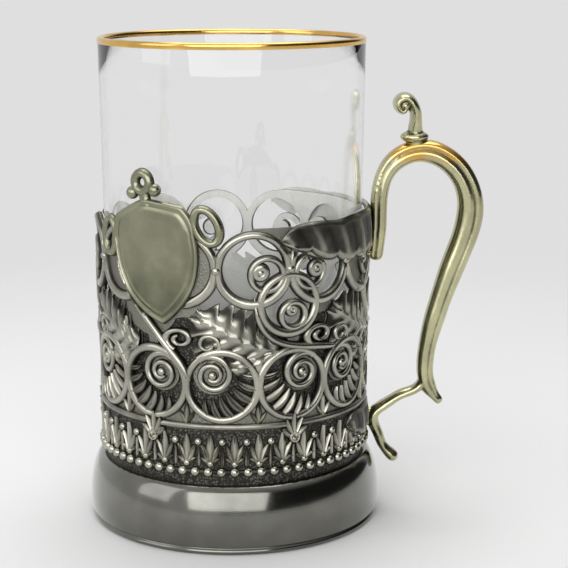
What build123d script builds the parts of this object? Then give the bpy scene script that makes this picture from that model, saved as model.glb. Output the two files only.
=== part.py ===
"""Podstakannik: a tea glass in a pierced brass holder with a cast scroll handle.

Millimetres. The origin is the middle of the foot on the table, +Z is up and the
handle points along +X. Angles round the wall are measured from the front, which
is -Y, and grow towards the handle.
"""
from build123d import *
from math import cos, pi, radians, sin
import os

# Tea glass
GLASS_HEIGHT = 105.0
GLASS_RIM_RADIUS = 33.5
GLASS_TAPER = 0.0165
GLASS_WALL = 1.3
GLASS_BASE = 5.0
GLASS_HEEL_ROUND = 4.0
GLASS_PUSH_UP = 1.2
GLASS_PUSH_UP_RADIUS = 24.0
GILT_THICKNESS = 0.12
GILT_OUTSIDE = 1.5
GILT_INSIDE = 0.9

# Foot and floor
FOOT_RADIUS = 37.6
FOOT_HEIGHT = 16.8
FOOT_WALL = 1.2
FOOT_TUCK = 0.8
FOOT_BELLY_HEIGHT = 5.6
FOOT_SHOULDER_DROP = 7.2
FOOT_BASE_FLANGE = 4.6
FOOT_TOP_FLANGE = 8.0
FLOOR_THICKNESS = 1.2

# Frieze, beads and seam wire
GLASS_CLEARANCE = 0.35
WALL_THICKNESS = 1.0
FRIEZE_HEIGHT = 13.8
FRIEZE_PROUD = 0.4
FOOT_LEDGE = 0.4
BEAD_RADIUS = 1.25
BEAD_COUNT = 66
BEAD_RISE = 3.3
BEAD_GROOVE = 0.8
SEAM_WIRE_HEIGHT = 1.6

# Pierced wall
WALL_HEIGHT = 49.2
SCROLL_COUNT = 12
SCROLL_BAND = 2.0
RING_OVERLAP = 1.6
LOWER_ROW_ANGLE = 25.0
LOWER_ROW_RISE = 11.0
UPPER_ROW_ANGLE = 8.0
UPPER_ROW_DROP = 0.4
MIDDLE_RING_RADIUS = 8.2
MIDDLE_RING_DROP = 8.6
VINE_WIDTH = 2.2
LEAF_OPENING_RADIUS = 4.6
RECESS_DEPTH = 0.55

# Shield
SHIELD_ANGLE = -33.4
SHIELD_DROP = 7.6
SHIELD_TILT = 9.3
SHIELD_HALF_WIDTH = 11.7
SHIELD_TOP = 14.4
SHIELD_TIP = 16.2
SHIELD_THICKNESS = 1.2
EAR_WIDTH = 7.0
EAR_LENGTH = 10.6
EAR_BAND = 2.1
CREST_RADIUS = 3.4
CREST_HOLE_RADIUS = 0.9
CREST_RISE = 18.4

# Handle saddles and rivets
SADDLE_THICKNESS = 1.4
UPPER_SADDLE_SPAN = 42.5
UPPER_SADDLE_HEIGHT = 12.0
UPPER_SADDLE_RISE = 1.0
LOWER_SADDLE_SPAN = 21.0
LOWER_SADDLE_HEIGHT = 8.2
RIVET_RADIUS = 1.2
RIVET_HEAD_RADIUS = 1.8
RIVET_HEAD_DEPTH = 0.6
RIVET_REACH = 1.8

# Handle, sizes measured outwards from the upper saddle and up from the wall's top
HANDLE_REACH = 28.6
HANDLE_RISE = 17.2
HANDLE_BREADTH = 7.0
STEM_DEPTH = 4.2
ARCH_DEPTH = 6.0
LIMB_DEPTH = 6.8
HEEL_DEPTH = 4.4
BRANCH_DEPTH = 2.8
BRANCH_BREADTH = 5.0
THUMB_HEIGHT = 12.0
THUMB_BREADTH = 8.4
THUMB_DEPTH = 2.8
THUMB_ROLL = 3.3
STUD_RADIUS = 1.3
STUD_LENGTH = 3.0
BAR_STEPS = 16

SEAT = FOOT_HEIGHT + FLOOR_THICKNESS
RIM = SEAT + GLASS_HEIGHT
FRIEZE_TOP = FOOT_HEIGHT + FRIEZE_HEIGHT
WALL_TOP = FRIEZE_TOP + WALL_HEIGHT


def glass_radius(z):
    """Outside of the glass."""
    return GLASS_RIM_RADIUS - GLASS_TAPER * (RIM - z)


def socket_radius(z):
    """Inside of the holder."""
    return glass_radius(z) + GLASS_CLEARANCE


def wall_radius(z):
    """Outside of the pierced wall."""
    return socket_radius(z) + WALL_THICKNESS


def ground_radius(z):
    """Floor of the recesses between the lower scrolls."""
    return wall_radius(z) - RECESS_DEPTH


def frieze_radius(z):
    """Outside of the frieze band."""
    return wall_radius(z) + FRIEZE_PROUD


def outline(*points):
    """Closed face in the XZ plane through (radius, height) corners."""
    return Plane.XZ * make_face(Polyline(*points, close=True))


def corner(face, x, z):
    """The corner of a face in the XZ plane that is nearest to a place."""
    return face.vertices().sort_by_distance((x, 0, z))[0]


def turned(face):
    """Solid turned about the axis of the holder."""
    return revolve(face, Axis.Z)


def shell(inside, thickness, bottom, top):
    """Ring that follows the taper: from a radius function outwards."""
    return turned(
        outline(
            (inside(bottom), bottom),
            (inside(bottom) + thickness, bottom),
            (inside(top) + thickness, top),
            (inside(top), top),
        )
    )


def facing(angle, height, radius):
    """Plane that faces outwards from the wall, x along the wall and y up."""
    a = radians(angle)
    out = Vector(sin(a), -cos(a), 0)
    along = Vector(cos(a), sin(a), 0)
    return Plane(origin=out * radius + Vector(0, 0, height), x_dir=along, z_dir=out)


def radial(angle, height, sketch, depth=4.0):
    """Prism of a flat drawing, pushed through the wall along its facing direction."""
    return extrude(facing(angle, height, wall_radius(height)) * sketch, depth, both=True)


def disc(x, y, radius):
    return Pos(x, y) * Circle(radius)


# Glass and its gilt rim
rim_in = GLASS_RIM_RADIUS - GLASS_WALL
base_in = glass_radius(SEAT + GLASS_BASE) - GLASS_WALL
heel = glass_radius(SEAT)
glass_face = outline(
    (0, SEAT + GLASS_PUSH_UP),
    (GLASS_PUSH_UP_RADIUS, SEAT),
    (heel, SEAT),
    (GLASS_RIM_RADIUS, RIM),
    (rim_in, RIM),
    (base_in, SEAT + GLASS_BASE),
    (0, SEAT + GLASS_BASE),
)
glass_face = fillet(corner(glass_face, heel, SEAT), GLASS_HEEL_ROUND)
glass_face = fillet(corner(glass_face, base_in, SEAT + GLASS_BASE), GLASS_HEEL_ROUND)
lip = [corner(glass_face, GLASS_RIM_RADIUS, RIM), corner(glass_face, rim_in, RIM)]
glass_face = fillet(lip, 0.42 * GLASS_WALL)
glass = turned(glass_face)

gilt_face = outline(
    (glass_radius(RIM - GILT_OUTSIDE) + GILT_THICKNESS, RIM - GILT_OUTSIDE),
    (GLASS_RIM_RADIUS + GILT_THICKNESS, RIM + GILT_THICKNESS),
    (rim_in - GILT_THICKNESS, RIM + GILT_THICKNESS),
    (glass_radius(RIM - GILT_INSIDE) - GLASS_WALL - GILT_THICKNESS, RIM - GILT_INSIDE),
    (glass_radius(RIM - GILT_INSIDE) - GLASS_WALL / 2, RIM - GILT_INSIDE),
    (glass_radius(RIM - GILT_OUTSIDE) - GLASS_WALL / 2, RIM - GILT_OUTSIDE),
)
lip = [
    corner(gilt_face, GLASS_RIM_RADIUS + GILT_THICKNESS, RIM + GILT_THICKNESS),
    corner(gilt_face, rim_in - GILT_THICKNESS, RIM + GILT_THICKNESS),
]
gilt_face = fillet(lip, 0.42 * GLASS_WALL + GILT_THICKNESS)
gilt = turned(gilt_face - glass_face)


# Spun foot, floor plate and the rings above them
def foot_section(inset):
    """Half section of the cushion-shaped foot, drawn in by a wall thickness."""
    start = (FOOT_RADIUS - FOOT_TUCK - inset, inset)
    belly = (FOOT_RADIUS - inset, FOOT_BELLY_HEIGHT)
    waist = (FOOT_RADIUS - inset - FOOT_TUCK / 2, FOOT_HEIGHT - FOOT_SHOULDER_DROP)
    ledge = (frieze_radius(FOOT_HEIGHT) + FOOT_LEDGE - inset, FOOT_HEIGHT - inset)
    side = ThreePointArc(start, belly, waist)
    shoulder = TangentArc(waist, ledge, tangent=side % 1)
    rest = Polyline(ledge, (0, ledge[1]), (0, inset), start)
    return Plane.XZ * make_face(side + shoulder + rest)


def hole_section(radius, bottom, top):
    return outline((0, bottom), (radius, bottom), (radius, top), (0, top))


base_opening = FOOT_RADIUS - FOOT_TUCK - FOOT_BASE_FLANGE
floor_opening = frieze_radius(FOOT_HEIGHT) - FOOT_TOP_FLANGE
foot_face = foot_section(0) - foot_section(FOOT_WALL)
foot_face -= hole_section(base_opening, -1, FOOT_WALL + 1)
foot_face -= hole_section(floor_opening, FOOT_HEIGHT - FOOT_WALL - 1, FOOT_HEIGHT + 1)
foot = turned(foot_face)

floor_plate = Pos(0, 0, FOOT_HEIGHT) * Cylinder(
    socket_radius(FOOT_HEIGHT),
    FLOOR_THICKNESS,
    align=(Align.CENTER, Align.CENTER, Align.MIN),
)

frieze = shell(socket_radius, WALL_THICKNESS + FRIEZE_PROUD, FOOT_HEIGHT, FRIEZE_TOP)

bead_z = FOOT_HEIGHT + BEAD_RISE
bead_r = frieze_radius(bead_z) + BEAD_RADIUS / 4
bead_face = Plane.XZ * disc(bead_r, bead_z, BEAD_RADIUS)
bead_face -= outline(
    (bead_r - 3 * BEAD_RADIUS, bead_z - 2 * BEAD_RADIUS),
    (frieze_radius(bead_z - 2 * BEAD_RADIUS), bead_z - 2 * BEAD_RADIUS),
    (frieze_radius(bead_z + 2 * BEAD_RADIUS), bead_z + 2 * BEAD_RADIUS),
    (bead_r - 3 * BEAD_RADIUS, bead_z + 2 * BEAD_RADIUS),
)
groove_floor = frieze_radius(bead_z) + 0.3 * BEAD_RADIUS
groove = Polyline(
    (groove_floor, 0),
    (bead_r + 2 * BEAD_RADIUS, BEAD_GROOVE),
    (bead_r + 2 * BEAD_RADIUS, -BEAD_GROOVE),
    close=True,
)
groove_tool = Pos(0, 0, bead_z) * extrude(make_face(groove), 2 * BEAD_RADIUS, both=True)
beads = turned(bead_face) - PolarLocations(0, BEAD_COUNT) * groove_tool

wire_top = FRIEZE_TOP + SEAM_WIRE_HEIGHT
wire_face = Plane.XZ * make_face(
    Polyline(
        (frieze_radius(FRIEZE_TOP) + 0.1, FRIEZE_TOP),
        (wall_radius(FRIEZE_TOP), FRIEZE_TOP),
        (wall_radius(wire_top), wire_top),
    )
    + ThreePointArc(
        (wall_radius(wire_top), wire_top),
        (frieze_radius(FRIEZE_TOP) + SEAM_WIRE_HEIGHT / 2, FRIEZE_TOP + SEAM_WIRE_HEIGHT / 2),
        (frieze_radius(FRIEZE_TOP) + 0.1, FRIEZE_TOP),
    )
)
seam_wire = turned(wire_face)

# Pierced wall: rings of scrolls in two rows, with a waving vine between them.
# The upper half is cut through, the lower half only sunk to a dark ground.
pitch = 360 / SCROLL_COUNT
lower_z = FRIEZE_TOP + LOWER_ROW_RISE
ring = wall_radius(lower_z) * sin(radians(pitch / 2)) + RING_OVERLAP / 2
upper_z = WALL_TOP - UPPER_ROW_DROP - ring
window = ring - SCROLL_BAND


def crescent(radius, band, turn):
    """Gap between a ring and the smaller curl that leans on its inside."""
    curl = 0.63 * radius
    lean = radius - curl + 0.35 * band
    a = radians(turn)
    return Circle(radius) - disc(lean * cos(a), lean * sin(a), curl), curl, lean


def scroll(radius, turn):
    """Windows of one scroll: the crescent and the small one inside its curl."""
    outer, curl, lean = crescent(radius, SCROLL_BAND, turn)
    inner = crescent(curl - 0.8 * SCROLL_BAND, 0.8 * SCROLL_BAND, turn + 180)[0]
    a = radians(turn)
    return outer + Pos(lean * cos(a), lean * sin(a)) * inner


def near(angle, middle, reach):
    """True if an angle lies within reach of another one."""
    return abs((angle - middle + 180) % 360 - 180) < reach


half = wall_radius(upper_z) * sin(radians(pitch / 2))
middle_z = upper_z - MIDDLE_RING_DROP
lower_scrolls = [crescent(window, SCROLL_BAND, turn)[0] for turn in (50, 130)]
upper_scrolls = [
    scroll(window, turn) - disc(side * half, -MIDDLE_RING_DROP, MIDDLE_RING_RADIUS)
    for turn, side in ((-20, 1), (200, -1))
]
middle_scroll = scroll(MIDDLE_RING_RADIUS - SCROLL_BAND, -70)
notch = Pos(0, ring / 2 + 1) * Rectangle(2 * half, ring + 2)
notch -= disc(-half, 0, ring)
notch -= disc(half, 0, ring)

# opening above each leaf, where two upper rings part
above_leaf_z = upper_z - ring + LEAF_OPENING_RADIUS - 2.0
above_leaf = Circle(LEAF_OPENING_RADIUS)
above_leaf -= disc(-half, upper_z - above_leaf_z, ring)
above_leaf -= disc(half, upper_z - above_leaf_z, ring)

# recesses below the vine, between two lower rings and beside a middle one
below_z = upper_z - ring - VINE_WIDTH - window
offset = UPPER_ROW_ANGLE - LOWER_ROW_ANGLE
below_vine = []
for angle in (offset, offset + pitch):
    beside = wall_radius(middle_z) * sin(radians(angle))
    opening = Circle(window) - disc(beside, middle_z - below_z, MIDDLE_RING_RADIUS)
    for side in (-1, 1):
        opening -= disc(side * half, lower_z - below_z, ring)
    below_vine.append(opening)

shield_reach = 24.0
handle_reach = 25.0
saddle_reach = UPPER_SADDLE_SPAN / wall_radius(upper_z) * 180 / pi
windows = []
recesses = []
for k in range(SCROLL_COUNT):
    low = LOWER_ROW_ANGLE + k * pitch
    high = UPPER_ROW_ANGLE + k * pitch
    gap = high + pitch / 2
    recesses.append(radial(low, lower_z, lower_scrolls[k % 2]))
    recesses.append(radial(low + pitch / 2, below_z, below_vine[k % 2]))
    if not near(high, SHIELD_ANGLE, shield_reach) and not near(high, 90, handle_reach):
        windows.append(radial(high, upper_z, upper_scrolls[k % 2]))
    if not near(gap, SHIELD_ANGLE, shield_reach):
        if k % 2 == 0:
            windows.append(radial(gap, middle_z, middle_scroll))
        else:
            windows.append(radial(gap, above_leaf_z, above_leaf))
        if not near(gap, 90, saddle_reach):
            windows.append(radial(gap, upper_z, notch))

upper_saddle_z = WALL_TOP + UPPER_SADDLE_RISE - UPPER_SADDLE_HEIGHT / 2
lower_saddle_z = FRIEZE_TOP - LOWER_SADDLE_HEIGHT / 2 - 0.4
core = turned(
    outline((0, SEAT), (socket_radius(SEAT), SEAT), (socket_radius(RIM), RIM), (0, RIM))
)


def rivet(height, outside):
    """Rivet from inside the holder through a saddle, its sunk head flush inside."""
    inner = socket_radius(height) - 1
    outer = outside(height) + SADDLE_THICKNESS + RIVET_REACH
    flare = (RIVET_HEAD_RADIUS - RIVET_RADIUS) / RIVET_HEAD_DEPTH
    low_end = (Align.CENTER, Align.CENTER, Align.MIN)
    shank = Cylinder(RIVET_RADIUS, outer - inner, align=low_end)
    head = Cone(RIVET_HEAD_RADIUS + flare, RIVET_RADIUS, RIVET_HEAD_DEPTH + 1, align=low_end)
    return Pos(inner, 0, height) * Rot(0, 90, 0) * (shank + head) - core


upper_rivets = [
    rivet(upper_saddle_z - 0.3 * UPPER_SADDLE_HEIGHT, wall_radius),
    rivet(upper_saddle_z + 0.25 * UPPER_SADDLE_HEIGHT, wall_radius),
]
lower_rivet = rivet(lower_saddle_z - 0.1 * LOWER_SADDLE_HEIGHT, frieze_radius)
skin = shell(ground_radius, RECESS_DEPTH + 1, FRIEZE_TOP, WALL_TOP)
sunk = []
for recess in recesses:
    sunk += (recess & skin).solids()
wall = shell(socket_radius, WALL_THICKNESS, FRIEZE_TOP, WALL_TOP) - (windows + sunk + upper_rivets)
frieze -= lower_rivet

# Shield with its two ears and crest
shield_z = WALL_TOP - SHIELD_DROP
half_edge = (
    ThreePointArc((0, SHIELD_TOP), (5.2, SHIELD_TOP - 1.4), (9.8, SHIELD_TOP - 3.0))
    + ThreePointArc(
        (9.8, SHIELD_TOP - 3.0), (SHIELD_HALF_WIDTH - 0.3, 8.4), (SHIELD_HALF_WIDTH, 4.4)
    )
    + ThreePointArc((SHIELD_HALF_WIDTH, 4.4), (11.2, -2.0), (9.0, -8.0))
    + ThreePointArc((9.0, -8.0), (5.2, -12.6), (0, -SHIELD_TIP))
)
half_shield = make_face(half_edge + Line((0, -SHIELD_TIP), (0, SHIELD_TOP)))
shield_face = half_shield + mirror(half_shield, Plane.YZ)
for side in (-1, 1):
    ear_x = side * (SHIELD_HALF_WIDTH + EAR_WIDTH / 2 - 0.8)
    ear = Ellipse(EAR_WIDTH / 2, EAR_LENGTH / 2)
    ear -= Ellipse(EAR_WIDTH / 2 - EAR_BAND, EAR_LENGTH / 2 - EAR_BAND)
    shield_face += Pos(ear_x, 6.0) * Rot(0, 0, 12 * side) * ear - half_shield
    shield_face += disc(side * CREST_RADIUS, CREST_RISE - 0.7 * CREST_RADIUS, 0.5 * CREST_RADIUS)
shield_face += disc(0, CREST_RISE, CREST_RADIUS)
shield_face += Pos(0, (SHIELD_TOP + CREST_RISE) / 2) * Rectangle(
    CREST_RADIUS, CREST_RISE - SHIELD_TOP + 2
)
shield_face -= disc(0, CREST_RISE - 0.6, CREST_HOLE_RADIUS)
shield_prism = radial(SHIELD_ANGLE, shield_z, Rot(0, 0, SHIELD_TILT) * shield_face, 6)
shield = shield_prism & shell(wall_radius, SHIELD_THICKNESS, FRIEZE_TOP, RIM)


# Saddles of the handle: two lobed leaves each, hugging the holder behind the handle
def saddle(span, height, lobes, middle, inside):
    radius = inside(middle)
    half_angle = span / radius / 2
    reach = radius * sin(half_angle)
    root = reach + 2 * SADDLE_THICKNESS
    tip = (-reach, 0.1 * height)
    edge = [
        Spline(
            tip,
            (-0.82 * reach, 0.42 * height),
            (-0.3 * reach, 0.5 * height),
            (root, 0.5 * height),
        )
    ]
    here = tip
    for i in range(lobes):
        share = (i + 1) / lobes
        there = (-reach + 2 * reach * share * 0.9, -height * (0.16 + 0.26 * share))
        belly = (0.5 * (here[0] + there[0]) - 0.6, 0.5 * (here[1] + there[1]) - 0.16 * height)
        edge.append(ThreePointArc(here, belly, there))
        here = there
    edge.append(Polyline(here, (root, -0.5 * height), (root, 0.5 * height)))
    drawing = make_face(Curve() + edge)
    angle = 90 - half_angle * 180 / pi
    depth = radius * (1 - cos(half_angle)) + 2 * SADDLE_THICKNESS
    wing = extrude(facing(angle, middle, radius) * drawing, depth, both=True)
    blank = shell(inside, SADDLE_THICKNESS, middle - height / 2, middle + height / 2)
    other = mirror(wing, Plane.XZ)
    return (wing & blank) + (other & blank)


upper_saddle = saddle(UPPER_SADDLE_SPAN, UPPER_SADDLE_HEIGHT, 4, upper_saddle_z, wall_radius)
lower_saddle = saddle(LOWER_SADDLE_SPAN, LOWER_SADDLE_HEIGHT, 3, lower_saddle_z, frieze_radius)


# Cast handle: one bow with a branch that bends back to the holder and curls under
def bar(points, sizes):
    """Tapering oval bar along a curve, from (place, depth, breadth) along it."""
    spine = Spline(*[(x, 0, z) for x, z in points])
    sections = []
    for i in range(BAR_STEPS + 1):
        place = i / BAR_STEPS
        k = max(j for j in range(len(sizes) - 1) if sizes[j][0] <= place)
        share = (place - sizes[k][0]) / (sizes[k + 1][0] - sizes[k][0])
        share = share * share * (3 - 2 * share)
        depth = sizes[k][1] + share * (sizes[k + 1][1] - sizes[k][1])
        breadth = sizes[k][2] + share * (sizes[k + 1][2] - sizes[k][2])
        across = Plane(origin=spine @ place, x_dir=(0, 1, 0), z_dir=spine % place)
        sections.append(across * Ellipse(breadth / 2, depth / 2))
    return loft(sections)


upper_root = wall_radius(upper_saddle_z) + SADDLE_THICKNESS
lower_root = frieze_radius(lower_saddle_z) + SADDLE_THICKNESS
stem_x = upper_root + 0.44 * STEM_DEPTH
arch_x = upper_root + 0.42 * HANDLE_REACH
arch_z = WALL_TOP + HANDLE_RISE - ARCH_DEPTH / 2
bow = bar(
    (
        (stem_x, upper_saddle_z - 0.65 * UPPER_SADDLE_HEIGHT),
        (stem_x, upper_saddle_z),
        (stem_x + 0.2, WALL_TOP + 0.22 * HANDLE_RISE),
        (upper_root + 0.17 * HANDLE_REACH, WALL_TOP + 0.62 * HANDLE_RISE),
        (arch_x, arch_z),
        (upper_root + 0.72 * HANDLE_REACH, WALL_TOP + 0.62 * HANDLE_RISE),
        (upper_root + HANDLE_REACH - LIMB_DEPTH / 2, WALL_TOP + 0.05 * HANDLE_RISE),
        (upper_root + 0.76 * HANDLE_REACH, WALL_TOP - 0.28 * WALL_HEIGHT),
        (upper_root + 0.58 * HANDLE_REACH, WALL_TOP - 0.6 * WALL_HEIGHT),
        (lower_root + 0.52 * HANDLE_REACH, FRIEZE_TOP + 0.19 * WALL_HEIGHT),
        (lower_root + 0.55 * HANDLE_REACH, FRIEZE_TOP + 0.03 * WALL_HEIGHT),
        (lower_root + 0.64 * HANDLE_REACH, FRIEZE_TOP - 0.04 * WALL_HEIGHT),
    ),
    (
        (0.00, 0.9 * STEM_DEPTH, 0.75 * HANDLE_BREADTH),
        (0.08, STEM_DEPTH, 0.85 * HANDLE_BREADTH),
        (0.17, 1.05 * STEM_DEPTH, 0.9 * HANDLE_BREADTH),
        (0.27, 0.9 * ARCH_DEPTH, HANDLE_BREADTH),
        (0.34, ARCH_DEPTH, HANDLE_BREADTH),
        (0.42, 1.04 * ARCH_DEPTH, HANDLE_BREADTH),
        (0.52, LIMB_DEPTH, HANDLE_BREADTH),
        (0.62, 0.94 * LIMB_DEPTH, 0.96 * HANDLE_BREADTH),
        (0.76, 0.8 * LIMB_DEPTH, 0.88 * HANDLE_BREADTH),
        (0.88, HEEL_DEPTH, 0.8 * HANDLE_BREADTH),
        (0.95, 0.95 * HEEL_DEPTH, 0.76 * HANDLE_BREADTH),
        (1.00, 0.5 * HEEL_DEPTH, 0.6 * HANDLE_BREADTH),
    ),
)
branch_x = lower_root + 0.4 * BRANCH_DEPTH
bead_clear = bead_r + BEAD_RADIUS + BRANCH_DEPTH / 2 + 1.0
branch = bar(
    (
        (lower_root + 0.53 * HANDLE_REACH, FRIEZE_TOP + 0.09 * WALL_HEIGHT),
        (lower_root + 0.44 * HANDLE_REACH, FRIEZE_TOP + 0.02 * WALL_HEIGHT),
        (lower_root + 0.31 * HANDLE_REACH, FRIEZE_TOP - 0.01 * WALL_HEIGHT),
        (lower_root + 0.17 * HANDLE_REACH, lower_saddle_z + 0.2 * LOWER_SADDLE_HEIGHT),
        (branch_x, lower_saddle_z - 0.22 * LOWER_SADDLE_HEIGHT),
        (bead_clear, bead_z - 0.2 * BEAD_RADIUS),
        (bead_clear + 0.5 * BRANCH_DEPTH, FOOT_HEIGHT - 0.4),
        (FOOT_RADIUS + 1.4 * BRANCH_DEPTH, FOOT_HEIGHT - 1.2 * BRANCH_DEPTH),
    ),
    (
        (0.00, BRANCH_DEPTH, 0.9 * BRANCH_BREADTH),
        (0.14, 0.9 * BRANCH_DEPTH, 0.9 * BRANCH_BREADTH),
        (0.32, 0.9 * BRANCH_DEPTH, BRANCH_BREADTH),
        (0.48, BRANCH_DEPTH, 1.1 * BRANCH_BREADTH),
        (0.62, 1.1 * BRANCH_DEPTH, 1.2 * BRANCH_BREADTH),
        (0.76, BRANCH_DEPTH, 1.1 * BRANCH_BREADTH),
        (0.88, 0.9 * BRANCH_DEPTH, BRANCH_BREADTH),
        (1.00, 1.2 * BRANCH_DEPTH, 1.1 * BRANCH_BREADTH),
    ),
)
handle = bow + branch - upper_saddle - lower_saddle

# Thumb rest: a scroll that rolls back over the arch, with a stud down into it
arch_top = WALL_TOP + HANDLE_RISE
thumb_x = arch_x - 0.8
roll_x = thumb_x - 3.2
roll_z = arch_top + THUMB_HEIGHT - THUMB_ROLL
turn_r = THUMB_ROLL - THUMB_DEPTH / 2
thumb = bar(
    (
        (thumb_x, arch_top - 0.3 * ARCH_DEPTH),
        (thumb_x - 0.4, arch_top + 0.2 * THUMB_HEIGHT),
        (thumb_x - 0.3, arch_top + 0.45 * THUMB_HEIGHT),
        (roll_x + turn_r * cos(radians(20)), roll_z + turn_r * sin(radians(20))),
        (roll_x, roll_z + turn_r),
        (roll_x - turn_r, roll_z),
        (roll_x - 0.2 * turn_r, roll_z - 0.8 * turn_r),
        (roll_x + 0.2 * turn_r, roll_z - 0.2 * turn_r),
    ),
    (
        (0.00, 2.0 * THUMB_DEPTH, 0.8 * HANDLE_BREADTH),
        (0.18, 1.35 * THUMB_DEPTH, 0.8 * HANDLE_BREADTH),
        (0.38, 1.1 * THUMB_DEPTH, 0.85 * THUMB_BREADTH),
        (0.55, THUMB_DEPTH, THUMB_BREADTH),
        (0.70, 0.95 * THUMB_DEPTH, THUMB_BREADTH),
        (0.86, 0.75 * THUMB_DEPTH, 0.98 * THUMB_BREADTH),
        (1.00, 0.5 * THUMB_DEPTH, 0.94 * THUMB_BREADTH),
    ),
)
stud = Pos(thumb_x, 0, arch_top + 1) * Cylinder(
    STUD_RADIUS, STUD_LENGTH + 1, align=(Align.CENTER, Align.CENTER, Align.MAX)
)
thumb_rest = thumb - bow + stud
handle -= stud

for pin in upper_rivets:
    upper_saddle -= pin
    handle -= pin
lower_saddle -= lower_rivet
handle -= lower_rivet

pieces = {
    "glass_tumbler": glass,
    "gilt_rim_band": gilt,
    "spun_foot": foot,
    "floor_plate": floor_plate,
    "frieze_band": frieze,
    "bead_ring": beads,
    "seam_wire": seam_wire,
    "pierced_wall": wall,
    "shield_plate": shield,
    "upper_handle_saddle": upper_saddle,
    "lower_handle_saddle": lower_saddle,
    "cast_handle": handle,
    "thumb_rest": thumb_rest,
    "handle_rivets": Compound(children=[*upper_rivets, lower_rivet]),
}
os.makedirs("parts", exist_ok=True)
for name, piece in pieces.items():
    export_step(piece, f"parts/{name}.step")
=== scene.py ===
"""Looks of a tea glass in a pierced brass holder, laid out as an add-on and run as a script."""
import math

import bmesh
import bpy
import numpy as np
from bpy.props import FloatProperty, FloatVectorProperty, IntProperty, PointerProperty
from bpy.types import Operator, Panel, PropertyGroup
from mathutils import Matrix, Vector


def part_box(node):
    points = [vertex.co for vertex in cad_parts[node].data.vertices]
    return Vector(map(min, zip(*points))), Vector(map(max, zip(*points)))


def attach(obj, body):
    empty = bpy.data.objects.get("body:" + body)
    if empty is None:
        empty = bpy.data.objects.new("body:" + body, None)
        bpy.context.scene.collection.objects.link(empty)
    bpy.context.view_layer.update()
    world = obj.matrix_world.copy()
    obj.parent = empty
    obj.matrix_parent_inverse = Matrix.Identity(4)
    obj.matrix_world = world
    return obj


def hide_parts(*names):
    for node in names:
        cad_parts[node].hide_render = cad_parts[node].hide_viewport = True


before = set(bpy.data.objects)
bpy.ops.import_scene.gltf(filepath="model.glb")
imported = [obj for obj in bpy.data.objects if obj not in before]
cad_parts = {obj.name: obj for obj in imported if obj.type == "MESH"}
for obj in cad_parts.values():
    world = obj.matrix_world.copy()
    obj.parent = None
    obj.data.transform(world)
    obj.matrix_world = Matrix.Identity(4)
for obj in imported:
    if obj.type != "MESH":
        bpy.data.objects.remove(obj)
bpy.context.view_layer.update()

bl_info = {
    "name": "Tea Glass Holder",
    "version": (1, 0, 0),
    "blender": (4, 5, 0),
    "location": "View3D > Sidebar > Tea Holder",
    "description": "Dresses a tea glass holder in cast scrolls, leaves, beads and toned brass",
    "category": "Object",
}

# Sizes and places in millimetres and degrees, the first of them read from the frame
MM = 0.001
GLASS_LOW, GLASS_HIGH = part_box("glass_tumbler")
FOOT_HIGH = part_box("spun_foot")[1]
WALL_LOW, WALL_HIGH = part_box("pierced_wall")
RIM, SEAT = GLASS_HIGH.z / MM, GLASS_LOW.z / MM
FOOT_TOP, FOOT_RADIUS = FOOT_HIGH.z / MM, FOOT_HIGH.x / MM
FRIEZE_TOP, WALL_TOP = WALL_LOW.z / MM, WALL_HIGH.z / MM

# Glass; the push-up under it is (radius, height), and the lip's turns are in radians
RIM_RADIUS, TAPER = 33.5, 0.0165
GLASS_WALL, GLASS_BASE, HEEL_ROUND = 1.3, 5.0, 4.0
STAND_RADIUS, STAND_GAP, INSIDE_FLAT, NEAR_AXIS = 24.0, 0.02, 14.0, 0.01
PUSH_UP = ((NEAR_AXIS, 1.22), (8.0, 1.05), (16.0, 0.6))
LIP_HALF, LIP_RISE, LIP_TURNS = 0.65, 0.6, (0.5, 1.1, 1.57, 2.0, 2.6)
GILT_SKIN, GILT_OUTSIDE, GILT_INSIDE = 0.12, 1.5, 0.9
GLASS_CLEARANCE, WALL_THICKNESS, RECESS = 0.35, 1.0, 0.55

# Foot; its rest and hem are (radius, height)
FOOT_LEDGE, FOOT_BELLY, FOOT_TUCK, FOOT_SHEET = 0.4, 5.6, 0.8, 1.2
FOOT_BEAD, FOOT_BEAD_IN, FOOT_BEAD_Z = 0.78, 1.15, 0.8
GROOVE_IN, GROOVE_LOW, GROOVE_HIGH, BODY_LOW = 0.85, 1.68, 1.88, 2.1
FOOT_REST = [(36.2, 0.05), (36.55, 0.0)]
FOOT_HEM = [(33.0, 1.2), (32.2, 0.9), (32.2, 0.0)]
# The groove's mark is kept low to paint shade into the groove above the foot's bead
FOOT_HOLE, LEDGE_MIDDLE, LEDGE_IN, GROOVE_PAINTED_SHADE, FOOT_STEPS = 25.5, 30.0, 0.6, 0.05, 144

# Frieze; a blade of a frond is (lean, height), and widths run from root to tip
FRIEZE_PROUD, SEAM_PROUD = 0.4, 0.9
FRIEZE_ROOT, BEAD_Z = FOOT_TOP + 4.9, FOOT_TOP + 3.3
STUD_UP, STUD, BUD_HEIGHT = 6.0, 1.0, 4.6
BUD_WIDTHS = (0.9, 1.2, 1.3, 1.2, 1.0, 0.85, 0.8, 0.8, 0.3)
BLADE_STEP, BLADE_SQUEEZE, BLADE_LEAN, BLADE_RISE = 0.25, 0.62, 24, 0.95
FROND_BLADES = ((-2, 3.6), (2, 3.6), (-1, 5.7), (1, 5.7), (0, 7.5))
FROND_ROOT, FROND_STUD_UP, FROND_STUD = 0.4, 0.5, 0.95
CLASP_MIDDLE, CLASP_ROOT, CLASP_RING_UP, CLASP_RING = FRIEZE_TOP - 3.0, -2.6, -2.4, 1.1
CLASP_REACH, CLASP_FAN, CLASP_RISE = 4.6, 30, 0.8
CLASP_WIDTHS = (0.9, 1.4, 1.8, 2.0, 1.9, 1.4, 0.4)

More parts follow.
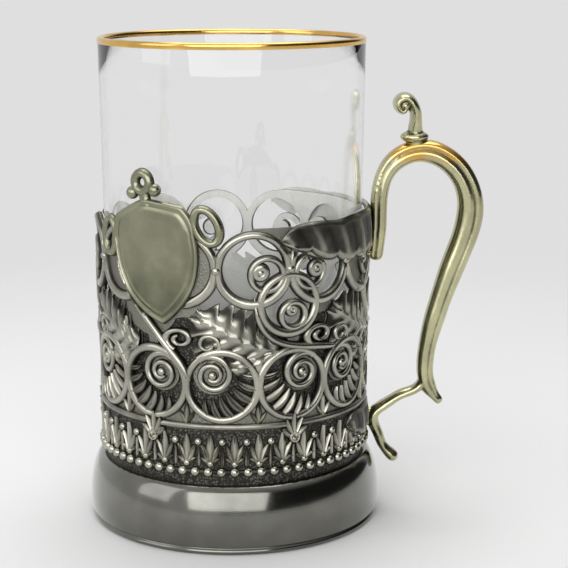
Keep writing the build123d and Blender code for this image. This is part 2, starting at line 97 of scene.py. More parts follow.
# Openwork; a leaf of a spray is (lean in degrees, length), and a sprig is (root, length)
PITCH, WIDE_PITCH = 30.0, 60.0
SCROLLS, WIDE_SCROLLS = 12, 6
LOWER_ANGLE, LOWER_Z = 25.0, 41.6
UPPER_ANGLE, UPPER_Z = 8.0, 69.93
MIDDLE_ANGLE, MIDDLE_Z = 23.0, 61.33
RING, WINDOW, MIDDLE_WINDOW, HALF_BAND = 9.47, 7.47, 6.2, 1.0
LOWER_LEAN, LOWER_TURN, UPPER_TURNS, MIDDLE_TURN = 3.46, 40, (-20, 200), -70
CURL_SHARE, CURL_BAND, CURL_OVERLAP, BUD_OVERLAP = 0.63, 1.6, 0.7, 0.56
CURL_RIDGE, CURL_RIDGE_IN, RING_THINNING = 1.75, 0.75, 0.16
STROKE_WIDE, STROKE_FINE, CURL_TURNS, EYE_PATH, EYE = 2.5, 1.2, 1.75, 1.2, 1.15
SPRAY_RADIUS, SPRAY_RISE = 8.1, 1.15
SPRAY_LEAVES = ((-66, 4.2), (-44, 5.2), (-22, 6.2), (0, 6.6), (22, 6.2), (44, 5.2), (66, 4.2))
SPRIG_Z, SPRIG_FAN, SPRIG_RISE = FRIEZE_TOP + 1.2, 34, 0.95
LOW_SPRIG, HIGH_SPRIG = (0.3, 5.2), (20.2, 4.6)
TIE_ROOT, TIE_TIP, TIE_RISE, TIE_STUD = 0.9, 3.84, 1.2, 1.15
TIE_WIDTHS = (0.9, 1.5, 1.9, 2.0, 1.9, 1.5, 1.0, 0.3)

# Shield; its edge is (x, y) down one side, and its field is in shares of that edge
SHIELD_ANGLE, SHIELD_Z, SHIELD_TILT = -33.4, WALL_TOP - 7.6, 9.3
SHIELD_EDGE = (
    (0.0, 14.4), (5.2, 13.0), (9.8, 11.4), (11.4, 8.4), (11.7, 4.4),
    (11.2, -2.0), (9.0, -8.0), (5.2, -12.6), (0.0, -16.2),
)
SHIELD_HALF_WIDTHS = [x for x, y in SHIELD_EDGE]
SHIELD_DROPS = [-y for x, y in SHIELD_EDGE]
SHIELD_REACH, SHIELD_CLEAR = 40, 20
SHIELD_MARGIN, SADDLE_MARGIN = 0.4, 0.3
FIELD_SHARES = (1.0, 0.97, 0.94, 0.9, 0.87, 0.84, 0.78, 0.66, 0.5, 0.33, 0.16, 0.02)
FIELD_RIM, FIELD_LINE, FIELD_MIDDLE = 0.955, 0.84, 0.5
EAR_X, EAR_Y, EAR_HALF_WIDTH, EAR_HALF_HEIGHT, EAR_TILT = 14.4, 6.0, 2.5, 4.3, 12
CREST_Y, CREST_RADIUS = 18.2, 2.15
CREST_BALL_X, CREST_BALL_Y, CREST_BALL = 3.4, 16.0, 1.6
NECK_LOW, NECK_HIGH, NECK_RISE = 12.6, 16.2, 1.4
NECK_WIDTHS = (4.4, 4.0, 3.6, 3.3, 3.1, 3.1, 3.2, 3.4, 3.4)

# Saddles; a span is the reach of one leaf along the wall
SADDLE_ANGLE = 90.0
SADDLE_SPANS = {"upper_handle_saddle": 42.5, "lower_handle_saddle": 21.0}
SADDLE_BOXES = {node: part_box(node) for node in SADDLE_SPANS}

# Handle and thumb rest: points of their middle lines as (x, z), and their depths and breadths
# as (share of the length, depth, breadth); the voxels are in metres
BOW = (
    (36.6, 67.6), (37.2, 74.8), (37.5, 83.6), (40.3, 90.5), (47.5, 94.0), (56.05, 90.5),
    (60.7, 80.7), (57.2, 66.0), (52.0, 50.3), (49.9, 39.95), (50.8, 32.1), (53.35, 28.6),
)
BOW_SIZES = (
    (0.00, 3.8, 5.2), (0.08, 4.2, 6.0), (0.17, 4.4, 6.3), (0.27, 5.4, 7.0),
    (0.34, 6.0, 7.0), (0.42, 6.2, 7.0), (0.52, 6.8, 7.0), (0.62, 6.4, 6.7),
    (0.76, 5.4, 6.2), (0.88, 4.4, 5.6), (0.95, 4.2, 5.3), (1.00, 2.4, 4.2),
)
BRANCH = (
    (50.2, 35.0), (47.6, 31.6), (43.9, 30.1), (39.9, 27.7),
    (36.2, 24.3), (37.5, 19.85), (38.9, 16.4), (41.5, 13.4),
)
BRANCH_SIZES = (
    (0.00, 2.8, 4.5), (0.14, 2.5, 4.5), (0.32, 2.5, 5.0), (0.48, 2.8, 5.5),
    (0.62, 3.1, 6.0), (0.76, 2.8, 5.5), (0.88, 2.5, 5.0), (1.00, 3.2, 5.4),
)
ROLL_X, ROLL_Z, ROLL = 43.47, 105.7, 1.9
THUMB_REST = (
    (46.67, 95.2), (46.27, 99.4), (46.37, 102.4),
    (ROLL_X + 0.94 * ROLL, ROLL_Z + 0.34 * ROLL), (ROLL_X, ROLL_Z + ROLL), (ROLL_X - ROLL, ROLL_Z),
    (ROLL_X - 0.2 * ROLL, ROLL_Z - 0.8 * ROLL), (ROLL_X + 0.2 * ROLL, ROLL_Z - 0.2 * ROLL),
)
THUMB_SIZES = (
    (0.00, 5.6, 5.6), (0.18, 3.8, 5.6), (0.38, 3.1, 7.1), (0.55, 2.8, 8.4),
    (0.70, 2.66, 8.4), (0.86, 2.1, 8.2), (1.00, 1.4, 7.9),
)
ROLL_CORE, ROLL_STRETCH = 1.7, (1.0, 2.5, 1.0)
COLLAR_X, COLLAR_Z, COLLAR, COLLAR_STRETCH = 46.1, 97.6, 1.6, (2.3, 2.2, 1.0)
ROUNDED_END = (1.0, 0.93, 0.75, 0.45)
HANDLE_VOXEL, THUMB_VOXEL = 0.34 * MM, 0.22 * MM
GILDED_FROM, GILDED_FULL = 90.0, 96.0

# Middle lines of the vines and leaves, from the middle of a middle scroll; a tendril is
# (x, y, outer radius, inner radius, angle where it starts, turns)
VINE = ((-8.6, 2.0), (-7.6, -3.6), (-4.6, -8.0), (0.5, -10.2), (7.0, -11.2), (14.0, -12.2))
SHIELD_VINE = ((-8.0, 4.4), (-3.2, -1.2), (1.2, -5.9), (5.6, -10.9), (9.2, -15.4), (11.0, -19.0))
ACANTHUS = ((-3.0, -11.2), (-8.0, -10.2), (-13.2, -7.8), (-17.6, -5.0), (-21.4, -2.2))
LOW_LEAF = ((-3.6, -12.0), (-7.6, -14.0), (-11.6, -15.0), (-15.4, -14.2))
TENDRILS = ((15.0, -9.4, 3.0, 0.9, -100, 1.3), (-24.0, -8.4, 2.9, 0.8, 250, -1.4))
STEM_ROOT, STEM_TIP, TENDRIL_ROOT, TENDRIL_TIP = 1.7, 2.3, 1.5, 1.0
ACANTHUS_LEAST, ACANTHUS_SWELL, LOW_LEAF_LEAST, LOW_LEAF_SWELL = 2.6, 11.6, 1.2, 4.4

# How high ornament may stand under the shield or a saddle, and the relief of a side that faces the glass
COVERED, BACK = 0.2, -1.0
VEIN_SLANT, SCALLOP = 0.16, 0.24
ENDS, ROUND_STEPS, CREASE = (0, -1), 160, 50

# Stage, in metres and degrees; the sensor is in millimetres and the picture's own places in pixels
LIGHT_AIM = (0.0, 0.0, 0.06)
LIGHTS = (
    ("key_light", (-0.10, -0.95, 0.41), (1.20, 0.75)),
    ("fill_light", (-0.80, -0.35, 0.45), (0.5, 0.7)),
    ("top_light", (0.05, 0.25, 0.95), (0.8, 0.8)),
)
ROOM_TONE, DIM_TONE = (0.6, 0.6, 0.6, 1.0), (0.035, 0.035, 0.035, 1.0)
FLOOR_RADIUS, FLOOR_STEPS = 12.0, 96
CAMERA_PLACE, CAMERA_PITCH, SENSOR = (0.0, -0.410, 0.145), 11.76, 36.0
IMAGE_MIDDLE_PIXEL, AXIS_PIXEL, FOCAL_PIXELS = 284.0, 232.5, 1625.0


# Settings that a user would change


class HolderSizes(PropertyGroup):
    """Sizes of the ornament."""

    scroll_band: FloatProperty(
        name="Scroll band", description="Width of the ridge on a scroll ring",
        default=0.0023, subtype="DISTANCE",
    )
    scroll_rise: FloatProperty(
        name="Scroll rise", description="Height of the scrolls above the wall",
        default=0.0011, subtype="DISTANCE",
    )
    leaf_rise: FloatProperty(
        name="Leaf rise", description="Height of the leaves above the wall",
        default=0.0012, subtype="DISTANCE",
    )
    bead_radius: FloatProperty(
        name="Bead radius", description="Radius of one bead of the ring",
        default=0.00125, subtype="DISTANCE",
    )
    bead_count: IntProperty(name="Beads", description="Number of beads round the frieze", default=66)
    frieze_count: IntProperty(name="Frieze leaves", description="Number of upright leaves", default=36)
    flute_depth: FloatProperty(
        name="Flute depth", description="Depth of the handle's side flute", default=0.1, subtype="FACTOR"
    )


class HolderFinish(PropertyGroup):
    """Colours of the metals and the glass."""

    worn_brass: FloatVectorProperty(
        name="Worn brass", description="Rubbed high places", default=(0.418, 0.409, 0.348), subtype="COLOR"
    )
    patina: FloatVectorProperty(
        name="Patina", description="Black in the hollows", default=(0.034, 0.033, 0.028), subtype="COLOR"
    )
    shield_brass: FloatVectorProperty(
        name="Shield brass", description="Bare field of the shield",
        default=(0.285, 0.286, 0.2), subtype="COLOR",
    )
    handle_brass: FloatVectorProperty(
        name="Handle brass", description="Cast handle", default=(0.52, 0.5, 0.31), subtype="COLOR"
    )
    foot_brass: FloatVectorProperty(
        name="Foot brass", description="Polished foot", default=(0.15, 0.148, 0.128), subtype="COLOR"
    )
    silver_wash: FloatVectorProperty(
        name="Silver wash", description="Pale inside of the wall",
        default=(0.80, 0.79, 0.75), subtype="COLOR",
    )
    gilding: FloatVectorProperty(
        name="Gilding", description="Band on the rim", default=(0.80, 0.50, 0.14), subtype="COLOR"
    )
    glass_tint: FloatVectorProperty(
        name="Glass", description="Tint of the clear glass", default=(0.993, 0.996, 0.994), subtype="COLOR"
    )


class HolderStudio(PropertyGroup):
    """Floor, light and camera."""

    floor_colour: FloatVectorProperty(
        name="Floor", description="Pale floor", default=(0.74, 0.74, 0.74), subtype="COLOR"
    )
    key_power: FloatProperty(
        name="Key light", description="Power of the key light", default=8.0, unit="POWER"
    )
    fill_power: FloatProperty(
        name="Fill light", description="Power of the fill light", default=1.5, unit="POWER"
    )
    top_power: FloatProperty(
        name="Top light", description="Power of the top light", default=5.5, unit="POWER"
    )
    lens: FloatProperty(
        name="Lens", description="Focal length on a 36 mm sensor", default=103.0, unit="CAMERA"
    )


# Shader maths and materials


class Wire:
    """One socket of a node tree, so that shader maths reads as an expression."""

    def __init__(self, tree, socket=None):
        self.tree = tree
        self.socket = socket

    def add(self, kind, settings=(), inputs=(), out=0):
        """New node: its settings first, then the values or links of its sockets."""
        node = self.tree.nodes.new(kind)
        for name, value in dict(settings).items():
            setattr(node, name, value)
        for name, value in dict(inputs).items():
            if isinstance(value, Wire):
                self.tree.links.new(value.socket, node.inputs[name])
            else:
                node.inputs[name].default_value = value
        return Wire(self.tree, node.outputs[out] if len(node.outputs) else None)

    def math(self, operation, a, b):
        return self.add("ShaderNodeMath", {"operation": operation}, {0: a, 1: b})

    def __add__(self, other):
        return self.math("ADD", self, other)

    __radd__ = __add__

    def __sub__(self, other):
        return self.math("SUBTRACT", self, other)

    def __rsub__(self, other):
        return self.math("SUBTRACT", other, self)

    def __mul__(self, other):
        return self.math("MULTIPLY", self, other)

    __rmul__ = __mul__

    def axis(self, name):
        """X, Y or Z of a vector."""
        return self.add("ShaderNodeSeparateXYZ", {}, {"Vector": self}, out=name)

    def length(self):
        return self.add("ShaderNodeVectorMath", {"operation": "LENGTH"}, {0: self}, out="Value")

    def noise(self, scale, detail):
        """Cloudy pattern at this place."""
        return self.add("ShaderNodeTexNoise", {}, {"Vector": self, "Scale": scale, "Detail": detail})

    def ray(self, kind):
        """1 for rays of one kind."""
        return self.add("ShaderNodeLightPath", out=f"Is {kind} Ray")

    def limited(self):
        """Between 0 and 1."""
        return self.add("ShaderNodeClamp", {}, {"Value": self})

    def smooth(self, low, high):
        """0 below low, 1 above high, and soft between."""
        ends = {"Value": self, "From Min": low, "From Max": high}
        return self.add("ShaderNodeMapRange", {"interpolation_type": "SMOOTHSTEP"}, ends)

    def blend(self, low, high):
        """Colour between two, by this value."""
        return self.add("ShaderNodeMix", {"data_type": "RGBA"}, {0: self, 6: low, 7: high}, out=2)

    def bump(self, strength, distance):
        """Normal of a surface with this height."""
        return self.add("ShaderNodeBump", {}, {"Strength": strength, "Distance": distance, "Height": self})


def toned(colour, share=1.0):
    """Four-part colour, darker or lighter by a share."""
    return (colour[0] * share, colour[1] * share, colour[2] * share, 1.0)


def fresh_material(name):
    """Empty material, with its Wire to start from and its place on the piece."""
    material = bpy.data.materials.new(name)
    material.use_nodes = True
    material.node_tree.nodes.clear()
    start = Wire(material.node_tree)
    return material, start, start.add("ShaderNodeTexCoord", out="Object")


def show(start, shader):
    """Ends a material with its shader."""
    start.add("ShaderNodeOutputMaterial", {}, {"Surface": shader})


def metal(name, bright, dark, rubbed, rough, spun=False, lining=None, gilded=None, lacquer=0.0):
    """Toned metal: dark where the relief is low, rubbed bright where it is high.

    rubbed is (relief that is still dark, relief that is fully bright), rough is the
    roughness of the bright and of the dark places. lining is the colour of the side that
    faces the glass, which has a relief of -1. gilded is (colour, heights where it begins
    and where it is full). lacquer is the weight of a clear coat.
    """
    material, start, place = fresh_material(name)
    relief = start.add("ShaderNodeAttribute", {"attribute_name": "relief"}, out="Fac")
    cloud = place.noise(140.0, 4.0)
    grain = place.noise(1900.0, 3.0)
    patchy = cloud - 0.5
    worn = (relief + patchy * 0.45).smooth(*rubbed)
    lit = cloud.smooth(0.3, 0.75).blend(toned(bright, 0.82), toned(bright, 1.08))
    if gilded:
        gold, begins, full = gilded
        lit = (place.axis("Z") + patchy * 0.02).smooth(begins * MM, full * MM).blend(lit, gold)
    colour = worn.blend(toned(dark), lit)
    if lining:
        colour = relief.smooth(-0.9, -0.4).blend(toned(lining), colour)
    polished, dull = rough
    height = grain
    if spun:
        turning = {"W": place.axis("Z"), "Scale": 5200.0, "Detail": 2.0}
        height = grain * 0.3 + start.add("ShaderNodeTexNoise", {"noise_dimensions": "1D"}, turning) * 0.7
    surface = {
        "Base Color": colour,
        "Roughness": (dull + (polished - dull) * worn + (grain - 0.5) * 0.12).limited(),
        "Metallic": 1.0,
        "Coat Weight": lacquer,
        "Coat Roughness": 0.06,
        "Normal": height.bump(0.12, 0.00008),
    }
    show(start, start.add("ShaderNodeBsdfPrincipled", {}, surface))
    return material


def matted(name, finish, lined=False):
    """Sheet with a punched black ground; a lined one has a toned face and is silver-washed inside."""
    material, start, place = fresh_material(name)
    cloud = place.noise(220.0, 5.0)
    grain = place.noise(1600.0, 3.0)
    cells = {"Vector": place, "Scale": 1500.0, "Randomness": 0.75}
    punched = 1.0 - start.add("ShaderNodeTexVoronoi", {}, cells, out="Distance").smooth(0.15, 0.6)
    colour = (punched * cloud.smooth(0.1, 0.7)).blend(toned(finish.patina), toned(finish.worn_brass, 0.38))
    metallic = 1.0
    if lined:
        flat = start.add("ShaderNodeVectorMath", {"operation": "MULTIPLY"}, {0: place, 1: (1.0, 1.0, 0.0)})
        depth = wall_radius(0.0) * MM + TAPER * place.axis("Z") - flat.length()
        face = 1.0 - depth.smooth(0.15 * RECESS * MM, 0.7 * RECESS * MM)
        worn = (face + (cloud - 0.5) * 0.7).smooth(0.3, 1.0)
        front = worn.blend(colour, toned(finish.worn_brass, 0.5))
        back = cloud.blend(toned(finish.silver_wash, 0.92), toned(finish.silver_wash))
        outside = 1.0 - depth.smooth(0.78 * MM, 0.92 * MM)
        colour = outside.blend(back, front)
        metallic = 0.25 + 0.75 * outside
    surface = {
        "Base Color": colour,
        "Roughness": 0.42 + 0.12 * grain,
        "Metallic": metallic,
        "Normal": (0.3 * grain + 0.7 * punched).bump(0.4, 0.0002),
    }
    show(start, start.add("ShaderNodeBsdfPrincipled", {}, surface))
    return material


def clear_glass(finish):
    """Clear glass with a faint ripple, which lets lamplight through."""
    material, start, place = fresh_material("clear_glass")
    surface = {
        "Base Color": toned(finish.glass_tint),
        "Roughness": 0.0,
        "IOR": 1.5,
        "Transmission Weight": 1.0,
        "Normal": place.noise(60.0, 1.0).bump(0.04, 0.0002),
    }
    glass = start.add("ShaderNodeBsdfPrincipled", {}, surface)
    clear = start.add("ShaderNodeBsdfTransparent", {}, {"Color": (0.95, 0.96, 0.955, 1.0)})
    show(start, start.add("ShaderNodeMixShader", {}, {0: start.ray("Shadow"), 1: glass, 2: clear}))
    return material


# Drawn paths and widths


def glass_radius(z):
    """Outside of the glass, in millimetres."""
    return RIM_RADIUS - TAPER * (RIM - z)


def wall_radius(z):
    """Outside of the pierced wall, in millimetres."""
    return glass_radius(z) + GLASS_CLEARANCE + WALL_THICKNESS


def turn_between(angle, other):
    """Signed turn in degrees from one facing angle to another."""
    return (angle - other + 180) % 360 - 180


def rotated(x, y, degrees):
    """Flat point turned about the origin."""
    a = math.radians(degrees)
    return x * math.cos(a) - y * math.sin(a), x * math.sin(a) + y * math.cos(a)


def around(x, y, radius, degrees):
    """Point of a circle at an angle."""
    a = math.radians(degrees)
    return x + radius * math.cos(a), y + radius * math.sin(a)


def hump(at, middle, width):
    """Soft rise to 1 at the middle, which dies away over a width."""
    return math.exp(-(((at - middle) / width) ** 2))


def within(share):
    """Share kept between 0 and 1."""
    return max(0.0, min(1.0, share))


def bend(x, y, radius, first, last, steps):
    """Points of a circular arc between two angles, both ends among them."""
    return [around(x, y, radius, first + (last - first) * i / steps) for i in range(steps + 1)]


def circle(x, y, radius, steps=48):
    """Points of a whole circle, none of them twice."""
    return bend(x, y, radius, 0, 360, steps)[:-1]


def spiral(x, y, outer, inner, start, turns, steps):
    """Path that winds inwards from an angle."""
    shares = [i / steps for i in range(steps + 1)]
    return [around(x, y, outer + (inner - outer) * t**0.85, start + 360 * turns * t) for t in shares]


def arc_through(start, middle, end, steps):
    """Points of the circular arc through three, without the last."""
    (ax, ay), (bx, by), (cx, cy) = start, middle, end
    d = 2 * (ax * (by - cy) + bx * (cy - ay) + cx * (ay - by))
    a2, b2, c2 = ax * ax + ay * ay, bx * bx + by * by, cx * cx + cy * cy
    x = (a2 * (by - cy) + b2 * (cy - ay) + c2 * (ay - by)) / d
    y = (a2 * (cx - bx) + b2 * (ax - cx) + c2 * (bx - ax)) / d
    first, mid, last = (math.degrees(math.atan2(v - y, u - x)) for u, v in (start, middle, end))
    turn = (last - first) % 360
    if (mid - first) % 360 > turn:
        turn -= 360
    return bend(x, y, math.hypot(ax - x, ay - y), first, first + turn, steps)[:-1]


def straight(start, end, steps):
    """Evenly spaced points from one to another."""
    (ax, ay), (bx, by) = start, end
    return [(ax + (bx - ax) * i / steps, ay + (by - ay) * i / steps) for i in range(steps + 1)]


def curve_through(points):
    """Smooth cubic curve through flat points, as a function of a share of its length."""
    xy = np.array(points, float)
    moves = np.diff(xy, axis=0)
    steps = np.linalg.norm(moves, axis=1)
    knots = np.concatenate([[0.0], np.cumsum(steps)])
    beside = steps[1:-1]
    system = np.diag(2 * (steps[:-1] + steps[1:])) + np.diag(beside, 1) + np.diag(beside, -1)
    bent = np.zeros_like(xy)
    bent[1:-1] = np.linalg.solve(system, 6 * np.diff(moves / steps[:, None], axis=0))

    def at(share):
        d = share * knots[-1]
        i = min(int(np.searchsorted(knots, d, side="right")) - 1, len(steps) - 1)
        h = steps[i]
        a, b = (knots[i + 1] - d) / h, (d - knots[i]) / h
        p = a * xy[i] + b * xy[i + 1]
        p = p + ((a**3 - a) * bent[i] + (b**3 - b) * bent[i + 1]) * h * h / 6
        return Vector((float(p[0]), float(p[1])))

    return at


def drawn(points, steps):
    """Evenly spaced points on the smooth curve through a few."""
    curve = curve_through(points)
    return [tuple(curve(i / steps)) for i in range(steps + 1)]


def heading(path, i, closed=False):
    """Way that a path takes at one of its points."""
    before = path[i - 1] if closed or i else path[i]
    after = path[(i + 1) % len(path)] if closed or i < len(path) - 1 else path[i]
    return Vector((after[0] - before[0], after[1] - before[1])).normalized()


def tapered(count, wide, narrow, tip=0.0, root=0.0):
    """Widths from wide to narrow along a path, closing at its end and its start over a share."""
    sizes = []
    for i in range(count):
        t = i / (count - 1)
        size = wide + (narrow - wide) * t
        if t < root:
            size *= max(0.15, math.sqrt(t / root))
        if tip and t > 1 - tip:
            size *= max(0.15, math.sqrt(max(0.0, 1 - ((t - 1 + tip) / tip) ** 2)))
        sizes.append(size)
    return sizes


def swelling(count, narrow, swell, start, span, power=1.0):
    """Widths of a blade that swells from its root and closes at its tip."""
    shares = [min(1.0, start + i / span) for i in range(count)]
    return [narrow + swell * math.sin(math.pi * t) ** power for t in shares]


def blended(sizes, t):
    """Depth and breadth at a share of a bar's length, eased between the given ones."""
    k = max(j for j in range(len(sizes) - 1) if sizes[j][0] <= t)
    here, after = sizes[k], sizes[k + 1]
    share = (t - here[0]) / (after[0] - here[0])
    share = share * share * (3 - 2 * share)
    return here[1] + share * (after[1] - here[1]), here[2] + share * (after[2] - here[2])


# Charts of the wall


def saddle_edges(share):
    """Lower and upper edge of a saddle leaf, in shares of its height, from its tip to its root."""
    top = 0.5 - 0.42 * math.exp(-share / 0.05) - 0.04 * hump(share, 0.4, 0.1)
    bottom = 0.07 - 0.55 * math.sin(math.radians(90 * min(1.0, share / 0.6)))
    return bottom, top


def saddle_place(node):
    """Middle and height of a saddle."""
    low, high = SADDLE_BOXES[node]
    return (low.z + high.z) / 2 / MM, (high.z - low.z) / MM


def is_covered(angle, z):
    """True where the shield or a saddle lies over the wall."""
    turn = turn_between(angle, SHIELD_ANGLE)
    if abs(turn) < SHIELD_REACH:
        x, y = rotated(wall_radius(z) * math.sin(math.radians(turn)), z - SHIELD_Z, -SHIELD_TILT)
        if SHIELD_DROPS[0] < -y < SHIELD_DROPS[-1]:
            if abs(x) < np.interp(-y, SHIELD_DROPS, SHIELD_HALF_WIDTHS) + SHIELD_MARGIN:
                return True
    for node, span in SADDLE_SPANS.items():
        middle, height = saddle_place(node)
        share = 1 - math.radians(abs(turn_between(angle, SADDLE_ANGLE))) * wall_radius(middle) / span
        if share > 0:
            bottom, top = saddle_edges(share)
            if bottom * height - SADDLE_MARGIN < z - middle < top * height + SADDLE_MARGIN:
                return True
    return False


def is_clear(angle):
    """True where a middle scroll stands clear of the shield."""
    return abs(turn_between(angle, SHIELD_ANGLE)) > SHIELD_CLEAR


def outwards(angle, radius, z):
    """Point at a facing angle in radians, with the front at 0."""
    return Vector((radius * math.sin(angle), -radius * math.cos(angle), z))


def on_wall(angle, height, proud=0.0, covers=True):
    """Chart of the wall round one facing angle: x along, y up, lift outwards."""

    def place(x, y, lift):
        z = height + y
        radius = wall_radius(z) + proud
        a = math.radians(angle) + math.asin(x / radius)
        if covers and lift > COVERED and is_covered(math.degrees(a), z):
            lift = COVERED
        return outwards(a, radius + lift, z)

    return place


# Points and faces


class Shape:
    """Points, faces and relief of one piece, in millimetres."""

    def __init__(self):
        self.points = []
        self.faces = []
        self.relief = []

    def skin(self, rows, relief, looped=False, caps=ENDS):
        """Adds a net of quads round closed rows of points, and a face over each end that is named."""
        first, width, count = len(self.points), len(rows[0]), len(rows)
        for row, marks in zip(rows, relief):
            self.points.extend(row)
            self.relief.extend(marks)
        for i in range(count if looped else count - 1):
            for j in range(width):
                a = first + i * width + j
                b = first + i * width + (j + 1) % width
                up = ((i + 1) % count - i) * width
                self.faces.append((a, b, b + up, a + up))
        for end in () if looped else caps:
            start = len(self.points)
            self.points.extend(rows[end])
            self.relief.extend(relief[end])
            self.faces.append(tuple(range(start, start + width)))

    def turned(self, profile, steps, marks=None):
        """Turns a closed profile of (radius, height) about the axis."""
        marks = marks or [1.0] * len(profile)
        turns = [2 * math.pi * i / steps for i in range(steps)]
        self.skin([[outwards(a, r, z) for r, z in profile] for a in turns], [marks] * steps, looped=True)

    def ridge(self, place, path, widths, rises, closed=False, sides=7, sink=0.25):
        """Half-round band along a drawn path on a chart."""
        rows, marks = [], []
        for i, (x, y) in enumerate(path):
            along = heading(path, i, closed)
            row, mark = [], []
            for j in range(sides + 1):
                t = math.pi * j / sides
                off = 0.5 * widths[i] * math.cos(t)
                lift = rises[i] * math.sin(t) if 0 < j < sides else -sink
                row.append(place(x - along.y * off, y + along.x * off, lift))
                mark.append(math.sin(t))
            rows.append(row)
            marks.append(mark)
        self.skin(rows, marks, looped=closed)

    def hoop(self, place, path, width, rise, sides=7, sink=0.25):
        """Closed ridge of one width and rise."""
        self.ridge(place, path, [width] * len(path), [rise] * len(path), True, sides, sink)

    def leaf(self, place, spine, widths, rise, lobes=0, columns=12, sink=0.35):
        """Leaf with a midrib along a drawn spine, with slanting veins and scallops where it has lobes."""
        rows, marks = [], []
        wavy, swept_back = (1.0, 0.14) if lobes else (0.0, 0.0525)
        for i, (x, y) in enumerate(spine):
            along = heading(spine, i)
            turns = 2 * math.pi * lobes
            t = i / (len(spine) - 1)
            edge = 1.0 + SCALLOP * wavy * math.cos(turns * t)
            front, under, mark = [], [], []
            for j in range(columns + 1):
                v = 2 * j / columns - 1
                wave = wavy * math.cos(turns * (t - VEIN_SLANT * abs(v)))
                dome = (1 - v * v) ** 0.5
                high = 0.5 * dome + 0.38 * hump(v, 0.0, 0.1) + 0.26 * wave * dome * min(1.0, 2.5 * abs(v))
                off = v * widths[i] / 2 * edge
                lean = swept_back * widths[i] * abs(v) ** 1.5
                px = x - along.y * off + along.x * lean
                py = y + along.x * off + along.y * lean
                front.append(place(px, py, rise * high + 0.12))
                under.append(place(px, py, -sink))
                mark.append(within(0.34 + 0.75 * high + 0.3 * wave * abs(v)))
            rows.append(front + under[::-1])
            marks.append(mark + [BACK] * len(mark))
        self.skin(rows, marks)

    def ball(self, centre, radius, rings=6, steps=12, stretch=(1.0, 1.0, 1.0)):
        """Small ball, or an egg where it is stretched."""
        rows = []
        for i in range(rings + 1):
            t = math.pi * i / rings
            flat = circle(0, 0, radius * math.sin(t), steps)
            z = stretch[2] * radius * math.cos(t)
            rows.append([centre + Vector((stretch[0] * x, stretch[1] * y, z)) for x, y in flat])
        self.skin(rows, [[1.0] * steps] * len(rows), caps=())

    def swept(self, spine, sizes, section, steps):
        """Bar in the plane of the handle, its ends rounded off."""
        rows = []
        ends = [(push, math.sqrt(1 - push * push) + 0.02) for push in ROUNDED_END]
        stations = [(0.0, -push, scale) for push, scale in ends]
        stations += [(i / steps, 0.0, 1.0) for i in range(steps + 1)]
        stations += [(1.0, push, scale) for push, scale in reversed(ends)]
        for t, push, scale in stations:
            ahead = spine(min(t + 0.002, 1.0)) - spine(max(t - 0.002, 0.0))
            ahead.normalize()
            across = Vector((-ahead.y, ahead.x))
            depth, breadth = blended(sizes, t)
            at = spine(t) + ahead * (push * depth * 0.5)
            row = []
            for u, v in section:
                flat = at + across * (v * depth * 0.5 * scale)
                row.append(Vector((flat.x, u * breadth * 0.5 * scale, flat.y)))
            rows.append(row)
        self.skin(rows, [[1.0] * len(section)] * len(rows))


def finished(name, shape, material, body, nodes=()):
    """Makes the piece from its shape, sets it on its body and hides the solids it stands for."""
    mesh = bpy.data.meshes.new(name)
    mesh.from_pydata([p * MM for p in shape.points], [], shape.faces)
    mark = mesh.attributes.new("relief", "FLOAT", "POINT")
    mark.data.foreach_set("value", shape.relief)
    work = bmesh.new()
    work.from_mesh(mesh)
    bmesh.ops.remove_doubles(work, verts=work.verts, dist=1e-6)
    bmesh.ops.recalc_face_normals(work, faces=work.faces)
    work.to_mesh(mesh)
    work.free()
    mesh.shade_smooth()
    mesh.set_sharp_from_angle(angle=math.radians(CREASE))
    mesh.materials.append(material)
    piece = bpy.data.objects.new(name, mesh)
    bpy.context.scene.collection.objects.link(piece)
    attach(piece, body)
    if nodes:
        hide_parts(*nodes)
    return piece


def dress(node, material):
    """Gives a solid that stays its finished material."""
    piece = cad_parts[node]
    piece.data.materials.clear()
    piece.data.materials.append(material)


def read_points(mesh, name):
    """Places or normals of a mesh's points, one in each row."""
    values = np.zeros(len(mesh.vertices) * 3)
    mesh.vertices.foreach_get(name, values)
    return values.reshape(-1, 3)


def cast(piece, voxel, rounds):
    """Melts crossing bars into one casting and marks its worn edges."""
    remesh = piece.modifiers.new("melt", "REMESH")
    remesh.mode = "VOXEL"
    remesh.voxel_size = voxel
    soft = piece.modifiers.new("soften", "SMOOTH")
    soft.factor = 0.5
    soft.iterations = rounds
    bpy.context.view_layer.update()
    done = piece.evaluated_get(bpy.context.evaluated_depsgraph_get())
    mesh = bpy.data.meshes.new_from_object(done)
    piece.modifiers.clear()
    piece.data = mesh
    at = read_points(mesh, "co")
    pairs = np.zeros(len(mesh.edges) * 2, int)
    mesh.edges.foreach_get("vertices", pairs)
    a, b = pairs.reshape(-1, 2).T
    links = np.bincount(a, minlength=len(at)) + np.bincount(b, minlength=len(at))
    smooth = at
    for _ in range(4):
        total = np.zeros_like(at)
        np.add.at(total, a, smooth[b])
        np.add.at(total, b, smooth[a])
        smooth = total / np.maximum(links, 1)[:, None]
    bulge = np.einsum("ij,ij->i", at - smooth, read_points(mesh, "normal")) / voxel
    mark = mesh.attributes.get("relief") or mesh.attributes.new("relief", "FLOAT", "POINT")
    mark.data.foreach_set("value", np.clip(0.62 + 1.6 * bulge, 0, 1).astype(np.float32))
    mesh.shade_smooth()


# Stage


def seen(start):
    """1 for the camera's own rays and those that metal and glass pass on."""
    return (start.ray("Camera") + start.ray("Glossy") + start.ray("Transmission")).limited()


